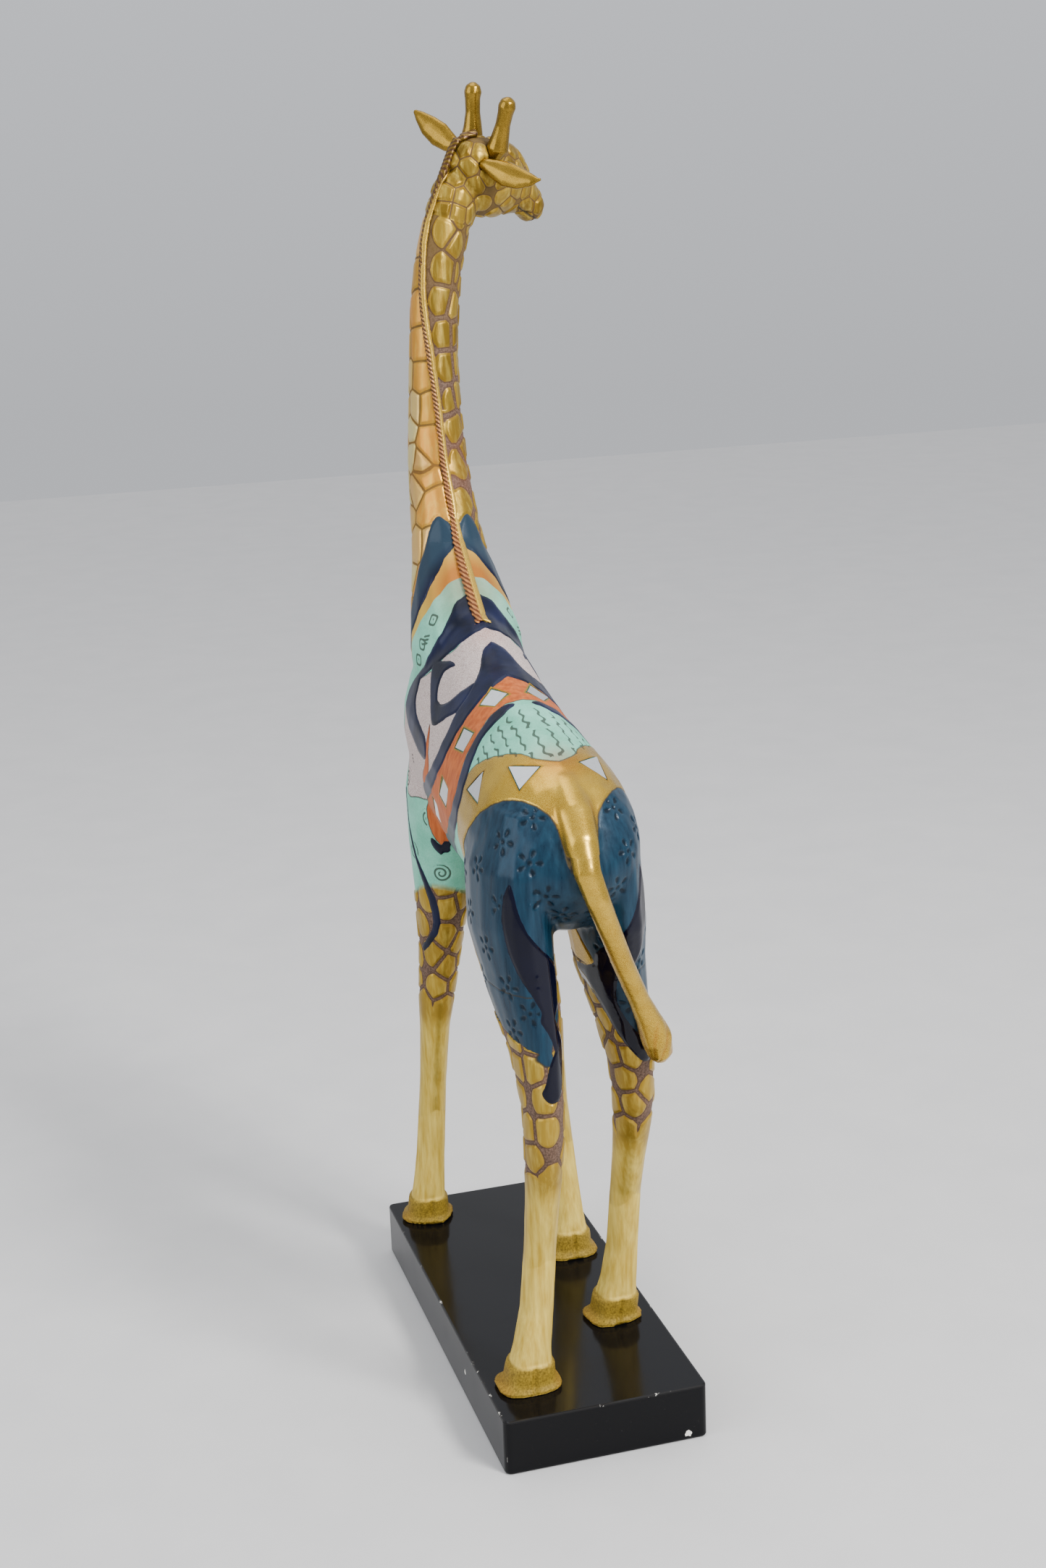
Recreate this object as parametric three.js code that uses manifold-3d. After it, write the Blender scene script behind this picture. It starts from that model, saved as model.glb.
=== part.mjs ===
// Giraffe figurine: painted resin castings, pinned and glued together and screwed to a plinth.
// Millimetres, +Z up. The origin is at the middle of the plinth's underside, the animal faces
// -Y and its left side is +X.
import * as THREE from 'three';
import { mergeVertices } from 'three/addons/utils/BufferGeometryUtils.js';
import Module from 'manifold-3d';

const wasm = await Module();
wasm.setup();

// ---------------------------------------------------------------- driving dimensions

const PLINTH = { width: 90, length: 213.5, top: 25, corner: 3, edge: 0.8 };
const FELT = { inset: 5, thickness: 1.2, proud: 0.3, corner: 4 };

// Every glued or seated face keeps this gap to its neighbour.
const GLUE = 0.3;

// Heights of the level joint faces, and the two tilted ones.
const JOINT = { hind: 212, fore: 222, neck: 362, tail: 265 };
const HEAD_JOINT = { at: [-10.8, -113, 503], normal: [-0.36, -0.05, 0.93] };

const DOWEL = { radius: 1.5, length: 16, sides: 10 };
const NECK_DOWEL = { radius: 2.5, length: 26, sides: 12 };
const TAIL_PIN = { radius: 0.8, length: 9, sides: 8 };
const SCREW = { shank: 2, head: 4, headHeight: 2.4, bore: 3, grip: 8, sides: 12 };

// Mirror chips lie this far under the surface, in pockets cut a little larger than the chip.
const MIRROR = { thickness: 1, sink: 0.2, pocketScale: 1.1, pocketDepth: 8 };

const SIDES = { limb: 16, torso: 26, head: 18, mane: 8, horn: 12, ear: 12, tail: 10 };

// Torso sections from chest to tail: y, top, bottom, half width, how much the back narrows.
const TORSO = [
  [-106, 296, 264, 10, 0.05],
  [-99, 318, 245, 21, 0.15],
  [-84, 334, 233, 29, 0.28],
  [-62, 339, 226, 32, 0.32],
  [-40, 331, 223, 32.5, 0.28],
  [-14, 319, 221, 33, 0.2],
  [14, 310, 220, 33.5, 0.12],
  [40, 304, 220, 34.5, 0.06],
  [62, 298, 222, 34, 0.02],
  [80, 289, 227, 30, 0],
  [92, 275, 238, 22, 0],
  [99, 258, 248, 8, 0],
];

// Limb sections: x, y, z, half width across, half depth, turn about the limb (degrees),
// squareness (2 is an ellipse, more is boxier).
const SOLE = PLINTH.top + GLUE;
const LEGS = {
  left_hind: [
    [26.8, 80.5, SOLE, 13.2, 10.8, 0, 4],
    [26.8, 80.5, 26.4, 13, 10.6, 0, 3.6],
    [26.2, 80.6, 29, 10.8, 9.6, 0, 3],
    [25.2, 80.4, 36, 9, 9, 0, 2.6],
    [24.2, 80, 43, 8.1, 8.8, 0, 2.1],
    [21.3, 79, 60, 7.2, 7.8, 0, 2],
    [18.9, 80, 90, 6.9, 7.6, 0, 2],
    [17.4, 83, 120, 7.4, 8.6, 0, 2],
    [17.3, 86, 140, 7.9, 11, 0, 2],
    [16.9, 85, 155, 8.2, 13.5, 0, 2],
    [17.4, 79, 178, 10, 19, 0, 2],
    [20, 71, 203, 13.4, 26, 0, 2],
    [22, 63, 228, 16, 33, 0, 2],
    [21.2, 60, 252, 16, 34, 0, 2],
    [17.5, 58, 276, 12, 27, 0, 2],
  ],
  right_hind: [
    [-25.4, 37.4, SOLE, 11.8, 10.2, -8, 4],
    [-25.4, 37.4, 26.4, 11.6, 10, -8, 3.6],
    [-26.4, 37.4, 29, 9.8, 9.2, -8, 3],
    [-27.8, 37.4, 36, 8.8, 8.8, -6, 2.6],
    [-29, 37.4, 43, 8.1, 8.6, -3, 2.1],
    [-31, 38, 60, 7.1, 7.8, 0, 2],
    [-32, 42, 90, 6.8, 7.6, 0, 2],
    [-32.6, 50, 120, 7.6, 8.6, 0, 2],
    [-32, 56, 140, 8.6, 11, 0, 2],
    [-31, 57, 155, 9.2, 13.5, 0, 2],
    [-27.5, 57, 178, 11, 19, 0, 2],
    [-23, 56, 203, 14, 26, 0, 2],
    [-20.5, 57, 228, 15.6, 33, 0, 2],
    [-18, 59, 252, 15.5, 34, 0, 2],
    [-14, 58, 276, 11, 27, 0, 2],
  ],
  left_fore: [
    [29, -88, SOLE, 11.4, 11, 25, 4],
    [29, -88, 26.4, 11.2, 10.8, 25, 3.6],
    [28.7, -87.6, 29, 9.8, 9.8, 22, 3],
    [28.4, -87, 36, 8.4, 8.8, 16, 2.6],
    [27.8, -86.4, 43, 7.8, 8.4, 8, 2.1],
    [26.3, -86, 60, 7, 7.4, 0, 2],
    [23.5, -84, 100, 6.5, 7.2, 0, 2],
    [21.9, -81, 130, 7.2, 9, 0, 2],
    [20.8, -79, 145, 8.2, 9.4, 0, 2],
    [18.6, -76, 170, 9.8, 11.5, 0, 2],
    [17.4, -72, 198, 12.6, 16, 0, 2],
    [17, -70, 222, 14.8, 21, 0, 2],
    [16.4, -69, 248, 15.6, 26, 0, 2],
    [13.6, -68, 275, 13.6, 25, 0, 2],
    [9, -66, 300, 9, 18, 0, 2],
  ],
  right_fore: [
    [-26, -28, SOLE, 12, 10.8, 0, 4],
    [-26, -28, 26.4, 11.8, 10.6, 0, 3.6],
    [-26.2, -28.4, 29, 10, 9.6, 0, 3],
    [-26.2, -29, 36, 8.6, 9, 0, 2.6],
    [-26.2, -30, 43, 7.8, 8.4, 0, 2.1],
    [-25.6, -32, 60, 7, 7.4, 0, 2],
    [-23.2, -36, 100, 6.6, 7.2, 0, 2],
    [-22.8, -41, 130, 7.2, 9, 0, 2],
    [-22.4, -44, 145, 7.8, 9.4, 0, 2],
    [-20.5, -50, 170, 8.8, 11, 0, 2],
    [-18.5, -56, 198, 11.5, 16, 0, 2],
    [-17.6, -63, 222, 14.5, 21, 0, 2],
    [-16.4, -67, 248, 15.6, 26, 0, 2],
    [-13.6, -67, 275, 13.6, 25, 0, 2],
    [-9, -65, 300, 9, 18, 0, 2],
  ],
};

const NECK = [
  [0, -62, 296, 24, 34, 0, 2],
  [0, -73, 316, 25.5, 31, 0, 2],
  [0, -86, 335, 21.5, 25, 0, 2],
  [0, -97, 354, 17.2, 19.8, 0, 2],
  [0, -105, 374, 15, 17.6, 0, 2],
  [0, -111, 395, 13.6, 16.2, 3, 2],
  [-0.4, -113, 420, 12, 14.6, 8, 2],
  [-1, -113, 445, 11, 13, 20, 2],
  [-2.6, -113, 465, 10.8, 12.2, 38, 2],
  [-5.2, -113, 484, 10.4, 11.4, 52, 2],
  [-9.4, -113, 500, 10, 11.2, 62, 2],
  [-15.6, -115, 514, 10.4, 11.8, 63, 2],
  [-21, -116, 524, 8, 9, 63, 2],
];

const TAIL = [
  [0, 60, 290, 9, 7, 0, 2],
  [0, 75, 285, 8.6, 7, 0, 2],
  [0.4, 88, 278, 8, 7, 0, 2],
  [0.6, 97.5, 269, 7, 6.4, 0, 2],
  [0, 102, 258, 5.8, 5.6, 0, 2],
  [-3.8, 103, 246, 5.2, 5.2, 0, 2],
  [-9.4, 99.5, 232, 4.8, 4.8, 0, 2],
  [-17.4, 92.5, 213, 4.6, 4.6, 0, 2],
  [-25.7, 86, 195, 4.6, 4.6, 0, 2],
  [-30, 83, 186, 5.4, 5.4, 0, 2],
  [-35, 79.5, 175, 6.9, 6.9, 0, 2],
  [-37.2, 77.5, 166.5, 5.6, 5.6, 0, 2],
  [-37.4, 76.8, 162.4, 2, 2, 0, 2],
];

// The head is built in its own frame: nose along -Y, crown up, at the middle of the horns' feet.
const HEAD_POSE = { at: [-30.5, -113.4, 535.6], yaw: 58, pitch: 22, roll: 19 };
const HEAD = [
  [13, -5, -15, 4, 0],
  [9, 0, -21, 8.8, 0],
  [1, 3.6, -27, 11.4, 0.05],
  [-7, 5.6, -30, 12, 0.1],
  [-15, 5.8, -29.2, 11, 0.15],
  [-23, 3.2, -25.4, 9, 0.15],
  [-29.5, -0.6, -21.2, 7.4, 0.1],
  [-35.5, -4, -20, 6.8, 0.05],
  [-40.5, -6, -21, 7.2, 0],
  [-44, -8.4, -20.6, 6.2, 0],
  [-46, -11.5, -17.6, 3.6, 0],
];

// Horns and ears start inside the skull.
const HORN = [
  [8.4, 0.4, -4, 3, 3, 0, 2],
  [9.2, 1.6, 0.6, 5, 5, 0, 2],
  [9.8, 3.6, 5, 4.1, 4.1, 0, 2],
  [10.8, 6.4, 10.6, 3.25, 3.25, 0, 2],
  [11.8, 9, 15.6, 3.4, 3.4, 0, 2],
  [12.2, 10.2, 18.2, 3.9, 3.9, 0, 2],
  [12.6, 11.3, 20.6, 3.1, 3.1, 0, 2],
  [12.8, 11.8, 21.9, 1, 1, 0, 2],
];
const LEFT_EAR = [
  [6, 4, -7, 2, 2.4, 0, 2],
  [11, 5.6, -6.4, 2.2, 2.8, 0, 2],
  [15.5, 7.2, -6.2, 2.4, 4.4, 0, 2],
  [21.5, 9.4, -4.9, 2.4, 5.6, 0, 2],
  [28, 11.6, -3.4, 2, 4.8, 0, 2],
  [34, 13.4, -1.4, 1.4, 2.6, 0, 2],
  [37.6, 14.4, -0.2, 0.7, 0.7, 0, 2],
];
const RIGHT_EAR = [
  [-6.5, 5.4, -8.6, 2, 2.4, 0, 2],
  [-11, 4.8, -8, 2.2, 2.8, 0, 2],
  [-15.5, 3.4, -8, 2.4, 4.4, 0, 2],
  [-21.5, 1.4, -8, 2.4, 5.6, 0, 2],
  [-28, -0.8, -7.2, 2, 4.8, 0, 2],
  [-34, -2.4, -5.4, 1.4, 2.6, 0, 2],
  [-37.6, -3.4, -3.6, 0.7, 0.7, 0, 2],
];

// Mirror chips on the left side, repeated on the right: a point to aim at, the way the chip
// faces, and its outline in its own plane (rearward, upward).
const CHIPS = {
  saddle_mirror: {
    aim: [9.8, 7.7, 309],
    facing: [0.49, 0.23, 0.84],
    outline: [[-2, -6], [-6.5, 2], [3, 5.5], [5.5, -2]],
  },
  side_mirror: {
    aim: [24.5, 11, 292.7],
    facing: [0.87, 0.06, 0.5],
    outline: [[-5.6, 4], [5.4, 4.8], [5, -3.8], [-5, -4.8]],
  },
  flank_mirror: {
    aim: [32.7, 4.1, 269.1],
    facing: [0.99, 0, 0.15],
    outline: [[-4.4, 5.2], [6.6, 2.6], [4.8, -5], [-6.6, -2.8]],
  },
  belly_mirror: {
    aim: [32, -17, 255],
    facing: [0.99, 0, -0.14],
    outline: [[-3.4, 5], [4.2, 3.4], [3.2, -5.2], [-4, -3.6]],
  },
  croup_mirror: {
    aim: [14.8, 67.3, 290.8],
    facing: [0.44, 0.38, 0.81],
    outline: [[-8, -2.4], [2, 7], [6.4, -5]],
  },
  hip_mirror: {
    aim: [28.9, 46.1, 281.3],
    facing: [0.9, 0.06, 0.42],
    outline: [[-8, -3], [0, 7.2], [7.6, -4.4]],
  },
};

// ---------------------------------------------------------------- shape helpers

const Z_UP = new THREE.Vector3(0, 0, 1);

function vec(x = 0, y = 0, z = 0) {
  return new THREE.Vector3(x, y, z);
}

// Rows of numbers resampled on a smooth curve through them.
function smoothRows(rows, steps) {
  const last = rows.length - 1;
  const out = [];
  for (let i = 0; i < last; i += 1) {
    const a = rows[Math.max(i - 1, 0)];
    const b = rows[i];
    const c = rows[i + 1];
    const d = rows[Math.min(i + 2, last)];
    for (let k = 0; k < steps; k += 1) {
      const t = k / steps;
      out.push(b.map((_, j) => 0.5 * (2 * b[j] + (c[j] - a[j]) * t
        + (2 * a[j] - 5 * b[j] + 4 * c[j] - d[j]) * t ** 2
        + (3 * b[j] - a[j] - 3 * c[j] + d[j]) * t ** 3)));
    }
  }
  out.push([...rows[last]]);
  return out;
}

// Swaps two corners of every triangle if the skin encloses a negative volume.
function facingOut(geometry) {
  const position = geometry.attributes.position;
  const index = geometry.index.array;
  const [a, b, c] = [vec(), vec(), vec()];
  let volume = 0;
  for (let i = 0; i < index.length; i += 3) {
    a.fromBufferAttribute(position, index[i]);
    b.fromBufferAttribute(position, index[i + 1]);
    c.fromBufferAttribute(position, index[i + 2]);
    volume += a.dot(b.cross(c));
  }
  if (volume < 0) {
    for (let i = 0; i < index.length; i += 3) {
      [index[i], index[i + 1]] = [index[i + 1], index[i]];
    }
  }
  return geometry;
}

// One closed skin over rings of points, with a flat fan at each end.
function skin(rings) {
  const sides = rings[0].length;
  const last = (rings.length - 1) * sides;
  const faces = [];
  for (let i = 0; i < rings.length - 1; i += 1) {
    for (let k = 0; k < sides; k += 1) {
      const a = i * sides + k;
      const b = i * sides + ((k + 1) % sides);
      faces.push(a, b, b + sides, a, b + sides, a + sides);
    }
  }
  for (let k = 1; k < sides - 1; k += 1) {
    faces.push(0, k + 1, k);
    faces.push(last, last + k, last + k + 1);
  }
  const geometry = new THREE.BufferGeometry().setFromPoints(rings.flat());
  geometry.setIndex(faces);
  return facingOut(geometry);
}

// Points round a superellipse, each placed by a function of its two unit coordinates.
function ring(sides, square, place) {
  return Array.from({ length: sides }, (_, k) => {
    const angle = (k / sides) * Math.PI * 2;
    const [c, s] = [Math.cos(angle), Math.sin(angle)];
    const reach = (Math.abs(c) ** square + Math.abs(s) ** square) ** (-1 / square);
    return place(c * reach, s * reach);
  });
}

// Centre, sideways and fore-and-aft directions at every smoothed section of a limb.
function limbFrames(rows, steps) {
  const fine = smoothRows(rows, steps);
  const centres = fine.map(([x, y, z]) => vec(x, y, z));
  return fine.map(([, , , across, deep, turn, square], i) => {
    const ahead = centres[Math.min(i + 1, fine.length - 1)];
    const behind = centres[Math.max(i - 1, 0)];
    const along = ahead.clone().sub(behind).normalize();
    const sideways = Math.abs(along.x) < 0.9 ? vec(1, 0, 0) : vec(0, 1, 0);
    sideways.addScaledVector(along, -along.dot(sideways)).normalize();
    sideways.applyAxisAngle(along, -THREE.MathUtils.degToRad(turn));
    const depth = along.clone().cross(sideways);
    return { centre: centres[i], along, sideways, depth, across, deep, square };
  });
}

// A limb: rounded sections along a bent centreline, optionally grown all round for a clearance.
function limb(rows, { steps = 1, sides = SIDES.limb, grow = 0, level = false } = {}) {
  const frames = limbFrames(rows, steps);
  const rings = frames.map((f, i) => {
    const flat = level && i <= 2 * steps;
    const depth = flat ? Z_UP.clone().cross(f.sideways).normalize() : f.depth;
    const sideways = flat ? depth.clone().cross(Z_UP) : f.sideways;
    let shift = 0;
    if (i === 0) shift = -grow;
    if (i === frames.length - 1) shift = grow;
    return ring(sides, f.square, (c, s) => f.centre.clone()
      .addScaledVector(f.along, shift)
      .addScaledVector(sideways, (f.across + grow) * c)
      .addScaledVector(depth, (f.deep + grow) * s));
  });
  return skin(rings);
}

// A barrel: upright sections along Y, each given by its top, bottom and half width.
function barrel(rows, { steps = 2, sides = SIDES.torso, grow = 0 } = {}) {
  const fine = smoothRows(rows, steps);
  const rings = fine.map(([y, top, bottom, half, narrow], i) => {
    const middle = (top + bottom) / 2;
    const reach = (top - bottom) / 2 + grow;
    let shift = 0;
    if (i === 0) shift = Math.sign(rows[0][0] - rows[1][0]) * grow;
    if (i === fine.length - 1) shift = Math.sign(rows[1][0] - rows[0][0]) * grow;
    return ring(sides, 2, (c, s) => vec(
      (half + grow) * s * (1 - narrow * Math.max(c, 0)),
      y + shift,
      middle + reach * c,
    ));
  });
  return skin(rings);
}

function mirrored(rows) {
  return rows.map(([x, y, z, across, deep, turn, square]) => [-x, y, z, across, deep, -turn, square]);
}

// A point on a limb's centreline at a given height.
function centreAt(rows, height) {
  const frames = limbFrames(rows, 4);
  for (let i = 0; i < frames.length - 1; i += 1) {
    const [low, high] = [frames[i].centre, frames[i + 1].centre];
    const share = (height - low.z) / (high.z - low.z);
    if (share >= 0 && share <= 1) return low.clone().lerp(high, share);
  }
  return frames[0].centre.clone();
}

function roundedRectangle(width, length, radius) {
  const shape = new THREE.Shape();
  const x = width / 2 - radius;
  const y = length / 2 - radius;
  shape.absarc(x, y, radius, 0, Math.PI / 2);
  shape.absarc(-x, y, radius, Math.PI / 2, Math.PI);
  shape.absarc(-x, -y, radius, Math.PI, Math.PI * 1.5);
  shape.absarc(x, -y, radius, Math.PI * 1.5, Math.PI * 2);
  return shape;
}

function slab(width, length, radius, bottom, top, edge = 0) {
  return new THREE.ExtrudeGeometry(roundedRectangle(width, length, radius), {
    depth: top - bottom - 2 * edge,
    curveSegments: 4,
    bevelEnabled: edge > 0,
    bevelThickness: edge,
    bevelSize: edge,
    bevelOffset: -edge,
    bevelSegments: 2,
  }).translate(0, 0, bottom + edge);
}

// A round bar along any direction, centred on a point.
function rod(centre, direction, radius, length, sides) {
  const turn = new THREE.Quaternion().setFromUnitVectors(vec(0, 1, 0), direction.clone().normalize());
  return new THREE.CylinderGeometry(radius, radius, length, sides)
    .applyQuaternion(turn)
    .translate(centre.x, centre.y, centre.z);
}

// ---------------------------------------------------------------- cutting and joining

function toSolid(geometry) {
  const bare = new THREE.BufferGeometry();
  bare.setAttribute('position', geometry.attributes.position.clone());
  if (geometry.index) bare.setIndex(geometry.index.clone());
  const merged = facingOut(mergeVertices(bare, 1e-4));
  return new wasm.Manifold(new wasm.Mesh({
    numProp: 3,
    vertProperties: new Float32Array(merged.attributes.position.array),
    triVerts: new Uint32Array(merged.index.array),
  }));
}

function toGeometry(solid) {
  const mesh = solid.getMesh();
  const geometry = new THREE.BufferGeometry();
  geometry.setAttribute('position', new THREE.BufferAttribute(new Float32Array(mesh.vertProperties), 3));
  geometry.setIndex(new THREE.BufferAttribute(new Uint32Array(mesh.triVerts), 1));
  geometry.computeVertexNormals();
  return geometry;
}

function joined(solids) {
  return solids.reduce((sum, solid) => sum.add(solid));
}

function cutBy(solid, cutters) {
  return cutters.reduce((rest, cutter) => rest.subtract(cutter), solid);
}

// Keeps what lies on the side that the normal points to, short of the plane by half a glue line.
function beyond(solid, point, normal) {
  const n = normal.clone().normalize();
  return solid.trimByPlane(n.toArray(), n.dot(point) + GLUE / 2);
}

function above(solid, height) {
  return beyond(solid, vec(0, 0, height), Z_UP);
}

function below(solid, height) {
  return beyond(solid, vec(0, 0, height), Z_UP.clone().negate());
}

// ---------------------------------------------------------------- materials and assembly

const PAINT = {
  lacquer: { color: 0x0b0b0d, roughness: 0.12, metalness: 0 },
  felt: { color: 0x1d2420, roughness: 0.95, metalness: 0 },
  steel: { color: 0x9a9c9f, roughness: 0.35, metalness: 1 },
  gold: { color: 0xb49a4c, roughness: 0.4, metalness: 0.7 },
  enamel: { color: 0x5f8f8c, roughness: 0.35, metalness: 0.1 },
  mirror: { color: 0xdfe4e6, roughness: 0.05, metalness: 1 },
};

const giraffe = new THREE.Group();

function add(name, geometry, paint) {
  const mesh = new THREE.Mesh(geometry, new THREE.MeshStandardMaterial(paint));
  mesh.name = name;
  giraffe.add(mesh);
}

// ---------------------------------------------------------------- plinth, felt and screws

const FELT_CEILING = FELT.thickness + GLUE;
const SCREW_SEAT = FELT_CEILING + SCREW.bore;

function plinthSolid(hooves) {
  const block = toSolid(slab(PLINTH.width, PLINTH.length, PLINTH.corner, FELT.proud, PLINTH.top, PLINTH.edge));
  const recess = toSolid(slab(
    PLINTH.width - 2 * FELT.inset,
    PLINTH.length - 2 * FELT.inset,
    FELT.corner,
    -1,
    FELT_CEILING,
  ));
  const bores = hooves.flatMap(({ x, y }) => [
    toSolid(rod(vec(x, y, SCREW_SEAT / 2), Z_UP, SCREW.head + GLUE, SCREW_SEAT, SCREW.sides)),
    toSolid(rod(vec(x, y, PLINTH.top / 2 + 2), Z_UP, SCREW.shank + GLUE, PLINTH.top, SCREW.sides)),
  ]);
  return cutBy(block, [recess, ...bores]);
}

function feltGeometry() {
  const inset = FELT.inset + GLUE;
  return slab(PLINTH.width - 2 * inset, PLINTH.length - 2 * inset, FELT.corner, 0, FELT.thickness);
}

// A pan-head screw pointing up, lathed about its own axis and stood under a hoof.
function screwGeometry({ x, y }) {
  const headTop = SCREW_SEAT - GLUE;
  const headBottom = headTop - SCREW.headHeight;
  const tip = SOLE + SCREW.grip;
  const profile = [
    [0, headBottom],
    [SCREW.head - 0.8, headBottom],
    [SCREW.head, headBottom + 0.8],
    [SCREW.head, headTop],
    [SCREW.shank, headTop],
    [SCREW.shank, tip - 2],
    [0, tip],
  ].map(([radius, height]) => new THREE.Vector2(radius, height));
  return new THREE.LatheGeometry(profile, SCREW.sides).rotateX(Math.PI / 2).translate(x, y, 0);
}

// ---------------------------------------------------------------- head, horns and ears

const HEAD_MATRIX = new THREE.Matrix4()
  .makeTranslation(...HEAD_POSE.at)
  .multiply(new THREE.Matrix4().makeRotationZ(THREE.MathUtils.degToRad(-HEAD_POSE.yaw)))
  .multiply(new THREE.Matrix4().makeRotationX(THREE.MathUtils.degToRad(HEAD_POSE.pitch)))
  .multiply(new THREE.Matrix4().makeRotationY(THREE.MathUtils.degToRad(-HEAD_POSE.roll)));

function onHead(geometry) {
  return geometry.applyMatrix4(HEAD_MATRIX);
}

const HEADGEAR = {
  left_ossicone: { rows: HORN, sides: SIDES.horn },
  right_ossicone: { rows: mirrored(HORN), sides: SIDES.horn },
  left_ear: { rows: LEFT_EAR, sides: SIDES.ear },
  right_ear: { rows: RIGHT_EAR, sides: SIDES.ear },
};

function headgear(name, grow = 0) {
  const { rows, sides } = HEADGEAR[name];
  return toSolid(onHead(limb(rows, { sides, grow })));
}

// ---------------------------------------------------------------- body castings

const headJointAt = vec(...HEAD_JOINT.at);
const headJointNormal = vec(...HEAD_JOINT.normal).normalize();

function legJoint(name) {
  return name.endsWith('hind') ? JOINT.hind : JOINT.fore;
}

function pinHole(pin, centre, direction) {
  return toSolid(rod(centre, direction, pin.radius + GLUE, pin.length + 2 * GLUE, pin.sides));
}

const legDowels = Object.fromEntries(Object.entries(LEGS).map(
  ([name, rows]) => [name, centreAt(rows, legJoint(name))],
));
const neckDowelAt = centreAt(NECK, JOINT.neck);
const tailPinAt = vec(0.3, 99.5, JOINT.tail);
const tailPinAlong = vec(0, 0.35, -1).normalize();

const hooves = Object.values(LEGS).map((rows) => ({ x: rows[0][0], y: rows[0][1] }));

function legSolid(name) {
  const rows = LEGS[name];
  const whole = below(toSolid(limb(rows, { level: true })), legJoint(name));
  const [x, y] = rows[0];
  const pilot = toSolid(rod(vec(x, y, SOLE), Z_UP, SCREW.shank + GLUE, 2 * SCREW.grip + 1, SCREW.sides));
  return cutBy(whole, [pilot, pinHole(DOWEL, legDowels[name], Z_UP)]);
}

function bodySolid() {
  const haunches = Object.entries(LEGS).map(
    ([name, rows]) => above(toSolid(limb(rows)), legJoint(name)),
  );
  return joined([
    toSolid(barrel(TORSO)),
    below(toSolid(limb(NECK)), JOINT.neck),
    above(toSolid(limb(TAIL, { sides: SIDES.tail })), JOINT.tail),
    ...haunches,
  ]);
}

function torsoSolid(whole, pockets) {
  const holes = Object.values(legDowels).map((at) => pinHole(DOWEL, at, Z_UP));
  return cutBy(whole, [
    ...holes,
    ...pockets,
    pinHole(NECK_DOWEL, neckDowelAt, Z_UP),
    pinHole(TAIL_PIN, tailPinAt, tailPinAlong),
  ]);
}

function neckSolid() {
  const whole = beyond(above(toSolid(limb(NECK)), JOINT.neck), headJointAt, headJointNormal.clone().negate());
  return cutBy(whole, [
    pinHole(NECK_DOWEL, neckDowelAt, Z_UP),
    pinHole(DOWEL, headJointAt, headJointNormal),
  ]);
}

function headSolid() {
  const nape = beyond(toSolid(limb(NECK)), headJointAt, headJointNormal);
  const skull = toSolid(onHead(barrel(HEAD, { sides: SIDES.head })));
  const sockets = Object.keys(HEADGEAR).map((name) => headgear(name, GLUE));
  return cutBy(skull.add(nape), [...sockets, pinHole(DOWEL, headJointAt, headJointNormal)]);
}

// ---------------------------------------------------------------- mane and tail

// The mane is a cord laid along the nape, from a bead on the withers to the poll.
const MANE = { radius: 2.1, sink: 0.5, bead: 2.9, withers: [[0, -41, 331.2], [0, -47, 333.4]] };
const POLL = [[4.4, 13.6, -9.5], [4, 11.6, -2.6], [2.6, 6.6, 2.4]];

function maneRows() {
  const ridge = limbFrames(NECK, 1)
    .filter(({ centre }) => centre.z > 340 && centre.z < 510)
    .map((f) => f.centre.clone().addScaledVector(f.depth, f.deep - MANE.sink));
  const poll = POLL.map((p) => vec(...p).applyMatrix4(HEAD_MATRIX));
  const start = MANE.withers.map((p) => vec(...p));
  return [...start, ...ridge, ...poll].map((p, i) => {
    const radius = i === 0 ? MANE.bead : MANE.radius;
    return [p.x, p.y, p.z, radius, radius, 0, 2];
  });
}

function maneSolid() {
  const body = joined([
    toSolid(barrel(TORSO, { grow: GLUE })),
    toSolid(limb(NECK, { grow: GLUE })),
    toSolid(onHead(barrel(HEAD, { sides: SIDES.head, grow: GLUE }))),
    headgear('left_ossicone', GLUE),
    headgear('left_ear', GLUE),
  ]);
  const cord = toSolid(limb(maneRows(), { steps: 2, sides: SIDES.mane }));
  return cord.subtract(body);
}

function tailSolid() {
  const whole = below(toSolid(limb(TAIL, { sides: SIDES.tail })), JOINT.tail);
  return cutBy(whole, [
    toSolid(barrel(TORSO, { grow: GLUE })),
    toSolid(limb(LEGS.right_hind, { grow: GLUE })),
    pinHole(TAIL_PIN, tailPinAt, tailPinAlong),
  ]);
}

// ---------------------------------------------------------------- mirror chips

// Where a ray aimed at the body from outside first meets its skin.
function onSkin(body, aim, facing) {
  const start = aim.clone().addScaledVector(facing, 20);
  const hits = new THREE.Raycaster(start, facing.clone().negate()).intersectObject(body);
  return hits[0].point;
}

// A flat chip, or the pocket for it, between two depths along the way it faces.
function chipGeometry(centre, facing, outline, bottom, top, scale = 1) {
  const rearward = vec(0, 1, 0).addScaledVector(facing, -facing.y).normalize();
  const upward = facing.clone().cross(rearward);
  const shape = new THREE.Shape(outline.map(([u, v]) => new THREE.Vector2(u * scale, v * scale)));
  const place = new THREE.Matrix4().makeBasis(rearward, upward, facing).setPosition(centre);
  return new THREE.ExtrudeGeometry(shape, { depth: top - bottom, bevelEnabled: false })
    .translate(0, 0, bottom)
    .applyMatrix4(place);
}

function onOtherSide(geometry) {
  return geometry.clone().scale(-1, 1, 1);
}

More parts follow.
